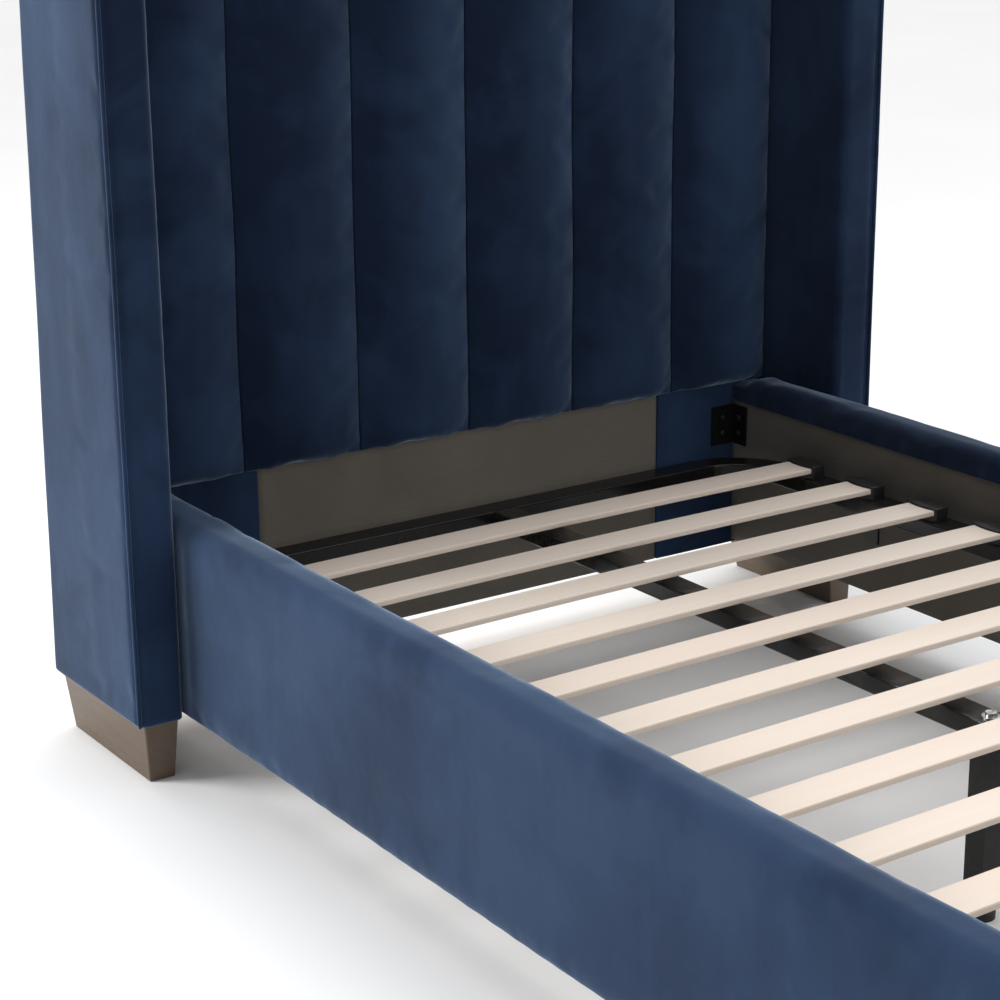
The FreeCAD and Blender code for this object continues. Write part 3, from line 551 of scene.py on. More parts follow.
def side_rail(word, side):
    """A side rail's velvet cover, over its outer face and top and down to the lining inside."""
    low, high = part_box(f"side_rail_pad_{word}")
    item = rail_block(f"side_rail_cover_{word}", low, high, 1)
    inner = RAIL_INNER * side
    points = points_of(item.data)
    # The rail's head end dips below the channel that bulges over it.
    reach = smooth_step(points[:, 1], SEAM_PLANE - 44 * MM, SEAM_PLANE - 20 * MM)
    high_up = smooth_step(points[:, 2], RAIL_TOP - 22 * MM, RAIL_TOP)
    points[:, 2] -= 12 * MM * reach * high_up
    move_points(item, points)

    def holds(at):
        hidden = (at[:, 2] < ROLL_BOTTOM) & ((at[:, 0] - inner) * side < 30 * MM)
        ends = np.maximum(
            1 - smooth_step(at[:, 1], FOOT_INNER, FOOT_INNER + 14 * MM),
            smooth_step(at[:, 1], SEAM_PLANE - 60 * MM, SEAM_PLANE - 30 * MM),
        )
        underside = at[:, 2] < RAIL_BOTTOM + 5 * MM
        return np.maximum(np.maximum(hidden, underside) * 1.0, ends)

    fill(item, holds, 1.0, 3.5 * MM)
    turn_under(item, 0, inner, side)
    rail_undulation(item, 1, 0, inner, side, 61 + side)
    stay_between(item, word, side)
    # Painted light and shade: the left rail is painted light and the right rail is painted at its darkest,
    # as if it lay in shade.
    finish_velvet(item, [f"side_rail_pad_{word}"], 0.42 - 0.42 * side, 66 + side)


def footboard():
    """The footboard's velvet cover, with softly rounded outer corners."""
    low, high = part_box("footboard_pad")
    item = rail_block("footboard_cover", low, high, 0)

    def holds(at):
        hidden = (at[:, 2] < ROLL_BOTTOM) & (at[:, 1] > FOOT_INNER - 30 * MM)
        underside = at[:, 2] < RAIL_BOTTOM + 5 * MM
        corners = (np.abs(at[:, 0]) > RAIL_OUTER - 30 * MM) & (at[:, 1] > FOOT_INNER - 12 * MM)
        return (hidden | underside | corners) * 1.0

    fill(item, holds, 1.0, 3.5 * MM)
    turn_under(item, 1, FOOT_INNER, -1)
    rail_undulation(item, 0, 1, FOOT_INNER, -1, 71)
    points = points_of(item.data)
    beside = np.abs(points[:, 0]) > RAIL_INNER - 2 * MM
    points[beside, 1] = np.minimum(points[beside, 1], FOOT_INNER - 0.2 * MM)
    move_points(item, points)
    finish_velvet(item, ["footboard_pad"], 0.5, 75)


# ---- Linings ----


def lining(name, node, across, face, outward):
    """A lining cloth stretched over a board, as a thin sheet with a trace of slack.

    It faces along X (0) or Y (1), and face is where its front lies.
    """
    low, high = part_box(node)
    along = 1 - across
    columns = round((high[along] - low[along]) / (12 * MM)) + 1
    rows = round((high.z - low.z) / (12 * MM)) + 1
    a, z = np.meshgrid(
        np.linspace(low[along], high[along], columns), np.linspace(low.z, high.z, rows), indexing="ij"
    )
    points = np.empty((a.size, 3))
    points[:, along], points[:, 2] = a.ravel(), z.ravel()
    points[:, across] = face
    room = np.minimum(points[:, along] - low[along], high[along] - points[:, along])
    room = np.minimum(room, np.minimum(points[:, 2] - low.z, high.z - points[:, 2]))
    slack = soft_noise(points, (6, 6, 5), 81) * 0.6 * MM
    slack += puckers(points[:, along], high.z - points[:, 2], 70 * MM, 0.35 * MM, 60 * MM, 83)
    points[:, across] += np.maximum(0, 0.5 * MM + slack) * smooth_step(room, 0, 25 * MM) * outward
    faces = []
    for column in range(columns - 1):
        for row in range(rows - 1):
            start = column * rows + row
            faces.append((start, start + rows, start + rows + 1, start + 1))
    item = new_piece(name, points, faces)
    if item.data.polygons[0].normal[across] * outward > 0:
        item.data.flip_normals()
    wall = item.modifiers.new("cloth", "SOLIDIFY")
    wall.thickness = 0.9 * MM
    wall.offset = -1
    finish_piece(item, "bed_box", "taupe_lining", [node])


# ---- Repeated parts, made with geometry nodes ----


class Graph:
    """Adds nodes to a tree and joins them."""

    def __init__(self, tree):
        self.tree = tree

    def add(self, kind, inputs=None, **settings):
        """A new node, whose inputs are linked to sockets or set to constants."""
        node = self.tree.nodes.new(kind)
        for key, value in settings.items():
            setattr(node, key, value)
        for key, value in (inputs or {}).items():
            if isinstance(value, bpy.types.NodeSocket):
                self.tree.links.new(value, node.inputs[key])
            else:
                node.inputs[key].default_value = value
        return node

    def out(self, kind, inputs=None, **settings):
        """The first output of a new node."""
        return self.add(kind, inputs, **settings).outputs[0]

    def sum(self, operation, *values, clamp=False):
        """A math node's result."""
        return self.out("ShaderNodeMath", dict(enumerate(values)), operation=operation, use_clamp=clamp)

    def vector(self, axis, value):
        """A vector with one value along an axis and nothing along the others."""
        return self.out("ShaderNodeCombineXYZ", {axis: value})

    def stretch(self, vector, scale):
        return self.out("ShaderNodeVectorMath", {0: vector, 1: scale}, operation="MULTIPLY")

    def noise(self, vector, scale, detail=2.0, roughness=0.5, distortion=0.0):
        inputs = {"Vector": vector, "Scale": scale, "Detail": detail}
        inputs.update({"Roughness": roughness, "Distortion": distortion})
        return self.out("ShaderNodeTexNoise", inputs)

    def ramp(self, value, low, high, top=1.0, **settings):
        """0 at low, top at high and nothing beyond them."""
        inputs = {"Value": value, "From Min": low, "From Max": high, "To Max": top}
        return self.out("ShaderNodeMapRange", inputs, **settings)

    def send(self, end, *values):
        """Links the values to the group's outputs, in order."""
        for number, value in enumerate(values):
            self.tree.links.new(value, end.inputs[number])


def new_tree(name, kind, inputs, outputs):
    """An empty node tree with named sockets, its graph, its inputs and its output node."""
    tree = bpy.data.node_groups.new(name, kind)
    for label, socket_type, default in inputs:
        socket = tree.interface.new_socket(label, in_out="INPUT", socket_type=socket_type)
        if default is not None:
            socket.default_value = default
    for label, socket_type in outputs:
        tree.interface.new_socket(label, in_out="OUTPUT", socket_type=socket_type)
    graph = Graph(tree)
    return tree, graph, graph.add("NodeGroupInput").outputs, graph.add("NodeGroupOutput")


def mesh_after(item):
    """The mesh that an object has after its modifiers."""
    bpy.context.view_layer.update()
    shaped = item.evaluated_get(bpy.context.evaluated_depsgraph_get())
    return bpy.data.meshes.new_from_object(shaped)


def made_by(name, mesh, tree, values):
    """The plain mesh that a geometry tree makes of a starting mesh with the given input values."""
    seed = show(bpy.data.objects.new(f"{name}_seed", mesh))
    modifier = seed.modifiers.new("maker", "NODES")
    modifier.node_group = tree
    for socket in tree.interface.items_tree:
        if socket.in_out == "INPUT" and socket.name in values:
            modifier[socket.identifier] = values[socket.name]
    result = mesh_after(seed)
    result.name = name
    bpy.data.objects.remove(seed)
    return show(bpy.data.objects.new(name, result))


def paint_and_send(graph, shape, finish, end):
    """Makes a tree's instances real, gives them their material and sends them out."""
    real = graph.out("GeometryNodeRealizeInstances", {"Geometry": shape})
    graph.send(end, graph.out("GeometryNodeSetMaterial", {"Geometry": real, "Material": finish}))


def slat_tree():
    """Bowed slats with rounded edges, side by side along Y."""
    length = "NodeSocketFloat"
    tree, graph, given, end = new_tree(
        "slat_row",
        "GeometryNodeTree",
        (
            ("Geometry", "NodeSocketGeometry", None),
            ("Length", length, 0.95),
            ("Width", length, 0.05),
            ("Thickness", length, 0.008),
            ("Edge", length, 0.002),
            ("Bow", length, 0.003),
            ("Count", "NodeSocketInt", 14),
            ("Pitch", length, 0.13),
            ("Finish", "NodeSocketMaterial", None),
        ),
        (("Geometry", "NodeSocketGeometry"),),
    )
    half = graph.sum("MULTIPLY", given["Length"], 0.5)
    ends = {"Start": graph.vector(0, graph.sum("MULTIPLY", half, -1.0)), "End": graph.vector(0, half)}
    line = graph.out("GeometryNodeCurvePrimitiveLine", ends)
    path = graph.out("GeometryNodeResampleCurve", {"Curve": line, "Count": 41})
    place = graph.add("ShaderNodeSeparateXYZ", {0: graph.out("GeometryNodeInputPosition")})
    share = graph.sum("DIVIDE", place.outputs[0], half)
    fall = graph.sum("SUBTRACT", 1.0, graph.sum("POWER", graph.sum("ABSOLUTE", share), 2.0))
    rise = graph.vector(2, graph.sum("MULTIPLY", given["Bow"], fall))
    bowed = graph.out("GeometryNodeSetPosition", {"Geometry": path, "Offset": rise})
    sizes = {"Width": given["Width"], "Height": given["Thickness"]}
    section = graph.out("GeometryNodeCurvePrimitiveQuadrilateral", sizes)
    edges = {"Curve": section, "Radius": given["Edge"], "Count": 4}
    rounded = graph.out("GeometryNodeFilletCurve", edges, mode="POLY")
    parts = {"Curve": bowed, "Profile Curve": rounded, "Fill Caps": True}
    strip = graph.out("GeometryNodeCurveToMesh", parts)
    count_less_one = graph.sum("SUBTRACT", given["Count"], 1.0)
    reach = graph.sum("MULTIPLY", graph.sum("MULTIPLY", given["Pitch"], count_less_one), 0.5)
    first = graph.vector(1, reach)
    step = graph.vector(1, graph.sum("MULTIPLY", given["Pitch"], -1.0))
    row = {"Count": given["Count"], "Start Location": first, "Offset": step}
    spots = graph.out("GeometryNodeMeshLine", row)
    slats = graph.out("GeometryNodeInstanceOnPoints", {"Points": spots, "Instance": strip})
    chance = graph.add("FunctionNodeRandomValue", {"Seed": 7}, data_type="FLOAT")
    shade = {"Geometry": slats, "Name": "slat_shade", "Value": chance.outputs[1]}
    marked = graph.out("GeometryNodeStoreNamedAttribute", shade, data_type="FLOAT", domain="INSTANCE")
    paint_and_send(graph, marked, given["Finish"], end)
    return tree


def slats():
    """All fourteen slats, as one piece on the slat frame."""
    nodes = [f"slat_{number:02d}" for number in range(1, SLATS + 1)]
    low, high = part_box(nodes[0])
    last_low, last_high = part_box(nodes[-1])
    pitch = (low.y - last_low.y) / (SLATS - 1)
    thickness = high.z - low.z - SLAT_BOW
    values = {
        "Length": high.x - low.x,
        "Width": high.y - low.y,
        "Thickness": thickness,
        "Edge": 2.2 * MM,
        "Bow": SLAT_BOW,
        "Count": SLATS,
        "Pitch": pitch,
        "Finish": FINISHES["birch_slat"],
    }
    item = made_by("slats", bpy.data.meshes.new("slat_start"), slat_tree(), values)
    centre = Vector((0, (low.y + last_high.y) / 2, low.z + thickness / 2))
    item.data.transform(Matrix.Translation(centre))
    face_outwards(item)
    smooth_by_angle(item, 40)
    return finish_piece(item, "slat_frame", "birch_slat", nodes)


def face_outwards(item):
    """Turns a closed mesh's faces outwards, after its doubles are merged."""
    shape = bmesh.new()
    shape.from_mesh(item.data)
    bmesh.ops.remove_doubles(shape, verts=shape.verts, dist=1e-6)
    bmesh.ops.recalc_face_normals(shape, faces=shape.faces)
    shape.to_mesh(item.data)
    shape.free()


def smooth_by_angle(item, degrees):
    """Smooth shading, except over edges sharper than an angle."""
    item.data.polygons.foreach_set("use_smooth", [True] * len(item.data.polygons))
    item.data.set_sharp_from_angle(angle=math.radians(degrees))


def scatter_tree(name):
    """Puts a small part on every point of a mesh, its Z axis along the point's facing attribute."""
    tree, graph, given, end = new_tree(
        name,
        "GeometryNodeTree",
        (
            ("Geometry", "NodeSocketGeometry", None),
            ("Part", "NodeSocketObject", None),
            ("Finish", "NodeSocketMaterial", None),
        ),
        (("Geometry", "NodeSocketGeometry"),),
    )
    part = graph.add("GeometryNodeObjectInfo", {"Object": given["Part"]}).outputs["Geometry"]
    facing = graph.out("GeometryNodeInputNamedAttribute", {"Name": "facing"}, data_type="FLOAT_VECTOR")
    turn = graph.out("FunctionNodeAlignRotationToVector", {"Vector": facing}, axis="Z")
    spin = graph.out("GeometryNodeInputNamedAttribute", {"Name": "spin"}, data_type="FLOAT")
    around = graph.out("FunctionNodeAxisAngleToRotation", {"Axis": (0, 0, 1), "Angle": spin})
    both = graph.out("FunctionNodeRotateRotation", {0: turn, 1: around}, rotation_space="LOCAL")
    where = {"Points": given["Geometry"], "Instance": part, "Rotation": both}
    placed = graph.out("GeometryNodeInstanceOnPoints", where)
    paint_and_send(graph, placed, given["Finish"], end)
    return tree


def scatter(name, part, spots, slot):
    """Copies of a part at each spot, which is a place, a direction for its Z axis and a turn."""
    mesh = bpy.data.meshes.new(f"{name}_spots")
    mesh.from_pydata([tuple(place) for place, _, _ in spots], [], [])
    facing = mesh.attributes.new("facing", "FLOAT_VECTOR", "POINT")
    facing.data.foreach_set("vector", [value for _, way, _ in spots for value in way])
    spin = mesh.attributes.new("spin", "FLOAT", "POINT")
    spin.data.foreach_set("value", [turn for _, _, turn in spots])
    values = {"Part": part, "Finish": FINISHES[slot]}
    item = made_by(name, mesh, scatter_tree(f"{name}_places"), values)
    bpy.data.objects.remove(part)
    return item


def welded(node):
    """A CAD node's mesh with its doubles merged."""
    shape = bmesh.new()
    shape.from_mesh(frame["nodes"][node].data)
    bmesh.ops.remove_doubles(shape, verts=shape.verts, dist=1e-5)
    return shape


def object_of(name, shape):
    """An object with a shape's mesh. The shape is freed."""
    mesh = bpy.data.meshes.new(name)
    shape.to_mesh(mesh)
    shape.free()
    return show(bpy.data.objects.new(name, mesh))


def islands(node):
    """The points of each separate solid of a CAD node."""
    shape = welded(node)
    shape.verts.ensure_lookup_table()
    seen, found = set(), []
    for start in shape.verts:
        if start.index in seen:
            continue
        stack, members = [start], []
        seen.add(start.index)
        while stack:
            point = stack.pop()
            members.append(point.co.copy())
            for edge in point.link_edges:
                other = edge.other_vert(point)
                if other.index not in seen:
                    seen.add(other.index)
                    stack.append(other)
        found.append(np.array(members))
    shape.free()
    return found


def screw_part():
    """A pan head with a cross recess, on a short shank. Its head stands up along Z from its seat."""
    outline = ((4.5, 0), (4.5, 0.7), (4.2, 1.3), (3.5, 1.9), (2.3, 2.3), (1.9, 2.35))
    shank = ((2.0, -12.0), (2.0, 0.0))
    around = 20
    shape = bmesh.new()
    rings = []
    for radius, height in shank + outline:
        ring = []
        for step in range(around):
            angle = 2 * math.pi * step / around
            deep = 0.62 if radius < 2.0 and step % 5 else 1.0
            spot = Vector((radius * deep * math.cos(angle), radius * deep * math.sin(angle), height))
            ring.append(shape.verts.new(spot * MM))
        rings.append(ring)
    floor = [shape.verts.new(Vector((v.co.x * 0.8, v.co.y * 0.8, 1.2 * MM))) for v in rings[-1]]
    rings.append(floor)
    for lower, upper in zip(rings, rings[1:]):
        for step in range(around):
            other = (step + 1) % around
            shape.faces.new((lower[step], lower[other], upper[other], upper[step]))
    shape.faces.new(rings[0][::-1])
    shape.faces.new(rings[-1])
    bmesh.ops.recalc_face_normals(shape, faces=shape.faces)
    return object_of("screw_part", shape)


def bracket_screws():
    """The wood screws of the corner and support brackets."""
    spots = []
    for number, points in enumerate(islands("bracket_screws")):
        low, high = points.min(0), points.max(0)
        axis = int(np.argmax(high - low))
        inward = -1 if (low[axis] + high[axis]) > 0 else 1
        seat = (low + high) / 2
        head = 2.4 * MM
        seat[axis] = (low[axis] + head) if inward < 0 else (high[axis] - head)
        way = [0.0, 0.0, 0.0]
        way[axis] = float(inward)
        spots.append((seat, way, number * 0.83))
    item = scatter("bracket_screw_set", screw_part(), spots, "black_screws")
    smooth_by_angle(item, 35)
    return finish_piece(item, "bed_box", "black_screws", ["bracket_screws"])


def holder_part(size, slot, lip):
    """A moulded slat holder with its mouth towards -X: a rounded block with a slot for the slat."""
    length, width, height = size
    outline = []
    steps = 10
    for step in range(steps + 1):
        share = step / steps * 2 - 1
        bulge = lip * (1 - share * share)
        outline.append((-bulge, share * width / 2))
    radius = 5 * MM
    for end, start in ((1, 90), (-1, 0)):
        centre = (length - radius, end * (width / 2 - radius))
        for step in range(5):
            angle = math.radians(start - step * 22.5)
            spot = (centre[0] + radius * math.cos(angle), centre[1] + radius * math.sin(angle))
            outline.append(spot)
    shape = bmesh.new()
    floor = [shape.verts.new((x, y, 0)) for x, y in outline]
    base = shape.faces.new(floor)
    raised = bmesh.ops.extrude_face_region(shape, geom=[base])
    top = [item for item in raised["geom"] if isinstance(item, bmesh.types.BMVert)]
    bmesh.ops.translate(shape, verts=top, vec=(0, 0, height))
    bmesh.ops.recalc_face_normals(shape, faces=shape.faces)
    rims = [edge for edge in shape.edges if abs(edge.verts[0].co.z - edge.verts[1].co.z) < 1e-6]
    rims = [edge for edge in rims if edge.verts[0].co.z > height / 2]
    bmesh.ops.bevel(shape, geom=rims, offset=1.3 * MM, segments=3, profile=0.5, affect="EDGES")
    block = object_of("holder_block", shape)
    slot_low, slot_high = slot
    tool_shape = bmesh.new()
    bmesh.ops.create_cube(tool_shape, size=1)
    centre = (Vector(slot_low) + Vector(slot_high)) / 2
    sizes = Vector(slot_high) - Vector(slot_low)
    bmesh.ops.scale(tool_shape, verts=tool_shape.verts, vec=sizes)
    bmesh.ops.translate(tool_shape, verts=tool_shape.verts, vec=centre)
    tool = object_of("holder_slot", tool_shape)
    cut = block.modifiers.new("slot", "BOOLEAN")
    cut.operation = "DIFFERENCE"
    cut.object = tool
    cut.solver = "EXACT"
    result = mesh_after(block)
    bpy.data.objects.remove(block)
    bpy.data.objects.remove(tool)
    return show(bpy.data.objects.new("holder_part", result))


def slat_holders():
    """A moulded holder for each end of each slat."""
    slat_low, slat_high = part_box("slat_01")
    play = 0.4 * MM
    spots = []
    for points in islands("slat_holders"):
        low, high = points.min(0), points.max(0)
        right = low[0] > 0
        mouth = low[0] if right else high[0]
        spots.append((low, high, right, mouth))
    low, high = spots[0][:2]
    lip = 5 * MM
    size = (high[0] - low[0] - lip, high[1] - low[1], high[2] - low[2])
    reach = slat_high.x - min(abs(low[0]), abs(high[0])) - lip + play
    half = (slat_high.y - slat_low.y) / 2 + play
    floor = slat_low.z - low[2] - play
    slot = ((-3 * lip, -half, floor), (reach, half, floor + SLAT_THICKNESS + 2 * play))
    part = holder_part(size, slot, lip)
    places = []
    for low, high, right, mouth in spots:
        inner = abs(mouth) + lip
        place = ((inner if right else -inner), (low[1] + high[1]) / 2, low[2])
        places.append((place, (0, 0, 1), 0.0 if right else math.pi))
    item = scatter("slat_holder_set", part, places, "holder_plastic")
    face_outwards(item)
    smooth_by_angle(item, 35)
    return finish_piece(item, "slat_frame", "holder_plastic", ["slat_holders"])


def eased(name, node, slot, width, segments=2):
    """A CAD node's shape with its sharp edges eased, as a piece that stands for it."""
    shape = welded(node)
    flat = math.radians(0.5)
    bmesh.ops.dissolve_limit(shape, angle_limit=flat, verts=shape.verts, edges=shape.edges)
    item = object_of(name, shape)
    bevel = item.modifiers.new("eased", "BEVEL")
    bevel.width = width
    bevel.segments = segments
    bevel.limit_method = "ANGLE"
    bevel.angle_limit = math.radians(25)
    bevel.harden_normals = True
    smooth_by_angle(item, 40)
    return finish_piece(item, "bed_box", slot, [node])


# ---- Materials ----


def shader_group(name, outputs, **inputs):
    """A shader group with a Vector, named inputs and plain values as its outputs."""
    sockets = [("Vector", "NodeSocketVector", None)]
    for label, default in inputs.items():
        kind = "NodeSocketFloat" if isinstance(default, float) else "NodeSocketVector"
        sockets.append((label.replace("_", " "), kind, default))
    return new_tree(name, "ShaderNodeTree", sockets, [(label, "NodeSocketFloat") for label in outputs])


def mottle_group():
    """Cloudy patches, as a mask from 0 to 1."""
    tree, graph, given, end = shader_group(
        "cloudy_patches", ("Mask",), Scale=10.0, Detail=4.0, Low=0.35, High=0.65
    )
    cloud = graph.noise(given["Vector"], given["Scale"], given["Detail"], 0.6, 0.6)
    mask = graph.ramp(cloud, given["Low"], given["High"], interpolation_type="SMOOTHSTEP")
    graph.send(end, mask)
    return tree


def grain_group():
    """Wood grain: long soft bands, fine fibres and pores, as a mask and a height."""
    tree, graph, given, end = shader_group(
        "wood_fibres",
        ("Bands", "Fibres", "Height"),
        Band_stretch=(1.0, 1.0, 1.0),
        Fibre_stretch=(1.0, 1.0, 1.0),
    )
    wide = graph.stretch(given["Vector"], given["Band stretch"])
    bands = graph.noise(wide, 1.0, 5.0, 0.55, 1.2)
    narrow = graph.stretch(given["Vector"], given["Fibre stretch"])
    fibres = graph.noise(narrow, 1.0, 3.0, 0.7)
    height = graph.sum("ADD", graph.sum("MULTIPLY", bands, 0.3), graph.sum("MULTIPLY", fibres, 0.7))
    graph.send(end, bands, fibres, height)
    return tree


def weave_group():
    """A plain weave on an upright cloth: warp threads along Z, weft threads level."""
    tree, graph, given, end = shader_group("plain_weave", ("Height", "Slub"), Threads=700.0)
    parts = graph.add("ShaderNodeSeparateXYZ", {0: given["Vector"]})
    level = graph.sum("ADD", parts.outputs[0], parts.outputs[1])
    turns = graph.sum("MULTIPLY", given["Threads"], math.pi)
    warp = graph.sum("MULTIPLY", level, turns)
    weft = graph.sum("MULTIPLY", parts.outputs[2], turns)
    over = graph.sum("MULTIPLY", graph.sum("SINE", warp), graph.sum("SINE", weft))
    raised = graph.sum("ADD", graph.sum("MULTIPLY", over, 0.5), 0.5)
    slub = graph.noise(graph.stretch(given["Vector"], (30.0, 30.0, 500.0)), 1.0)
    graph.send(end, raised, slub)
    return tree


def wear_group():
    """Where the edges stick out, as a mask that is broken up by noise."""
    tree, graph, given, end = shader_group("edge_wear", ("Mask",), Start=0.52, Full=0.6)
    edge = graph.add("ShaderNodeNewGeometry").outputs["Pointiness"]
    mask = graph.ramp(edge, given["Start"], given["Full"])
    speckle = graph.noise(given["Vector"], 220.0, 4.0)
    graph.send(end, graph.sum("MULTIPLY", mask, graph.sum("MULTIPLY", speckle, 1.5), clamp=True))
    return tree


MOTTLE = mottle_group()
GRAIN = grain_group()
WEAVE = weave_group()
WEAR = wear_group()


class Finish(Graph):
    """A material's graph, with its shader and the object's own coordinates."""

    def __init__(self, name, **constants):
        self.material = bpy.data.materials.new(name)
        self.material.use_nodes = True
        super().__init__(self.material.node_tree)
        self.shader = self.tree.nodes["Principled BSDF"]
        for key, value in constants.items():
            self.shader.inputs[key.replace("_", " ")].default_value = value
        self.place = self.out_of("ShaderNodeTexCoord", "Object")

    def out_of(self, kind, output, **settings):
        return self.add(kind, **settings).outputs[output]

    def use(self, group, **inputs):
        """The outputs of a shared group with the given inputs."""
        values = {key.replace("_", " "): value for key, value in inputs.items()}
        return self.add("ShaderNodeGroup", {"Vector": self.place, **values}, node_tree=group).outputs

    def mix(self, share, first, second):
        """A colour between two, each a socket or three numbers."""
        inputs = {0: share}
        for index, value in ((6, first), (7, second)):
            inputs[index] = (*value, 1.0) if isinstance(value, tuple) else value
        return self.add("ShaderNodeMix", inputs, data_type="RGBA").outputs[2]

    def between(self, value, low, high):
        """A value from 0 to 1 as one from low to high."""
        return self.sum("MULTIPLY_ADD", value, high - low, low)

    def bump(self, height, distance, strength=1.0, under=None):
        inputs = {"Height": height, "Distance": distance, "Strength": strength}
        if under is not None:
            inputs["Normal"] = under
        return self.out("ShaderNodeBump", inputs)

    def surface(self, colour, roughness, normal=None):
        """Drives the shader, and gives the finished material."""
        for socket, value in (("Base Color", colour), ("Roughness", roughness), ("Normal", normal)):
            if value is not None:
                self.tree.links.new(value, self.shader.inputs[socket])
        return self.material


def velvet():
    """Navy short-pile velvet: patches of nap, faint pressed streaks and a soft sheen, with painted light
    and shade from the stored tone attribute.
    """
    finish = Finish(
        "navy_velvet",
        Sheen_Weight=0.62,
        Sheen_Roughness=0.36,
        Sheen_Tint=(0.60, 0.77, 1.0, 1.0),
        Specular_IOR_Level=0.1,
    )
    patches = finish.use(MOTTLE, Scale=7.0, Detail=5.0, Low=0.36, High=0.66)["Mask"]
    long = finish.stretch(finish.place, (22.0, 22.0, 3.0))
    streaks = finish.use(MOTTLE, Vector=long, Scale=1.0, Detail=5.0, Low=0.35, High=0.7)["Mask"]
    # The stored tone holds each piece's painted brightness and painted side shade along with its nap
    # patches. It sets both the colour and the roughness.
    stored_nap_and_painted_shade = finish.out_of("ShaderNodeAttribute", "Fac", attribute_name="nap_and_painted_shade")
    cloud = finish.sum("MULTIPLY_ADD", patches, 0.38, finish.sum("MULTIPLY_ADD", streaks, 0.14, -0.26))
    nap_and_painted_shade = finish.sum("ADD", stored_nap_and_painted_shade, cloud, clamp=True)
    pile = finish.noise(finish.place, 1500.0, 3.0, 0.7)
    colour = finish.mix(nap_and_painted_shade, (0.0065, 0.0135, 0.034), (0.020, 0.043, 0.098))
    colour = finish.mix(finish.sum("MULTIPLY", pile, 0.4), colour, (0.006, 0.012, 0.030))
    roughness = finish.between(nap_and_painted_shade, 0.95, 0.75)
    soft = finish.bump(finish.noise(finish.place, 60.0, 3.0), 0.9 * MM, 0.3)
    normal = finish.bump(pile, 0.25 * MM, 0.5, soft)
    return finish.surface(colour, roughness, normal)


def lining_cloth():
    """Taupe plain-woven lining, a little uneven in its threads."""
    finish = Finish("taupe_lining", Specular_IOR_Level=0.25, Sheen_Weight=0.1, Sheen_Roughness=0.6)
    weave = finish.use(WEAVE, Threads=760.0)
    cloud = finish.use(MOTTLE, Scale=4.0, Detail=3.0, Low=0.3, High=0.7)["Mask"]
    colour = finish.mix(cloud, (0.120, 0.108, 0.092), (0.150, 0.135, 0.114))
    colour = finish.mix(finish.sum("MULTIPLY", weave["Slub"], 0.45), colour, (0.085, 0.076, 0.064))
    roughness = finish.between(weave["Slub"], 0.75, 0.95)
    normal = finish.bump(weave["Height"], 0.3 * MM, 0.6)
    return finish.surface(colour, roughness, normal)


def birch(bottom, thickness, bow, half_length):
    """Pale laminated birch: fibres along the slat, a shade of its own for each, plies at the edges."""
    finish = Finish("birch_slat", Specular_IOR_Level=0.35, Coat_Weight=0.12, Coat_Roughness=0.35)
    shade = finish.out_of("ShaderNodeAttribute", "Fac", attribute_name="slat_shade")
    shift = finish.vector(0, finish.sum("MULTIPLY", shade, 9.0))
    place = finish.out("ShaderNodeVectorMath", {0: finish.place, 1: shift}, operation="ADD")
    grain = finish.use(
        GRAIN, Vector=place, Band_stretch=(2.2, 34.0, 34.0), Fibre_stretch=(24.0, 900.0, 900.0)
    )
    colour = finish.mix(grain["Bands"], (0.690, 0.585, 0.500), (0.765, 0.680, 0.600))
    colour = finish.mix(finish.sum("MULTIPLY", shade, 0.35), colour, (0.70, 0.585, 0.495))
    pores = finish.ramp(grain["Fibres"], 0.60, 0.78, 0.45)
    colour = finish.mix(pores, colour, (0.56, 0.40, 0.28))
    parts = finish.add("ShaderNodeSeparateXYZ", {0: finish.place})
    share = finish.sum("DIVIDE", parts.outputs[0], half_length)
    rise = finish.sum("MULTIPLY", finish.sum("SUBTRACT", 1.0, finish.sum("MULTIPLY", share, share)), bow)
    level = finish.sum("SUBTRACT", finish.sum("SUBTRACT", parts.outputs[2], bottom), rise)
    ply = finish.sum("FRACT", finish.sum("DIVIDE", level, thickness / 5))
    glue = finish.sum("LESS_THAN", finish.sum("ABSOLUTE", finish.sum("SUBTRACT", ply, 0.5)), 0.1)
    above = finish.sum("GREATER_THAN", level, 0.6 * MM)
    within = finish.sum("MULTIPLY", above, finish.sum("LESS_THAN", level, thickness - 0.6 * MM))
    line = finish.sum("MULTIPLY", finish.sum("MULTIPLY", glue, within), 0.5)
    colour = finish.mix(line, colour, (0.42, 0.29, 0.19))
    roughness = finish.between(grain["Fibres"], 0.42, 0.62)
    normal = finish.bump(grain["Height"], 0.15 * MM, 0.45)
    return finish.surface(colour, roughness, normal)


def leg_wood():
    """Grey-brown stained wood with open fine grain, paler where its edges are rubbed."""
    finish = Finish("leg_wood", Specular_IOR_Level=0.4, Coat_Weight=0.15, Coat_Roughness=0.4)
    grain = finish.use(GRAIN, Band_stretch=(48.0, 5.0, 60.0), Fibre_stretch=(900.0, 40.0, 900.0))
    colour = finish.mix(grain["Bands"], (0.082, 0.055, 0.034), (0.150, 0.106, 0.071))
    pores = finish.ramp(grain["Fibres"], 0.52, 0.68, 0.6)
    colour = finish.mix(pores, colour, (0.055, 0.037, 0.023))
    wear = finish.use(WEAR, Start=0.53, Full=0.62)["Mask"]
    colour = finish.mix(finish.sum("MULTIPLY", wear, 0.5), colour, (0.24, 0.18, 0.125))
    roughness = finish.between(grain["Fibres"], 0.38, 0.6)
    normal = finish.bump(grain["Height"], 0.3 * MM, 0.5)
    return finish.surface(colour, roughness, normal)


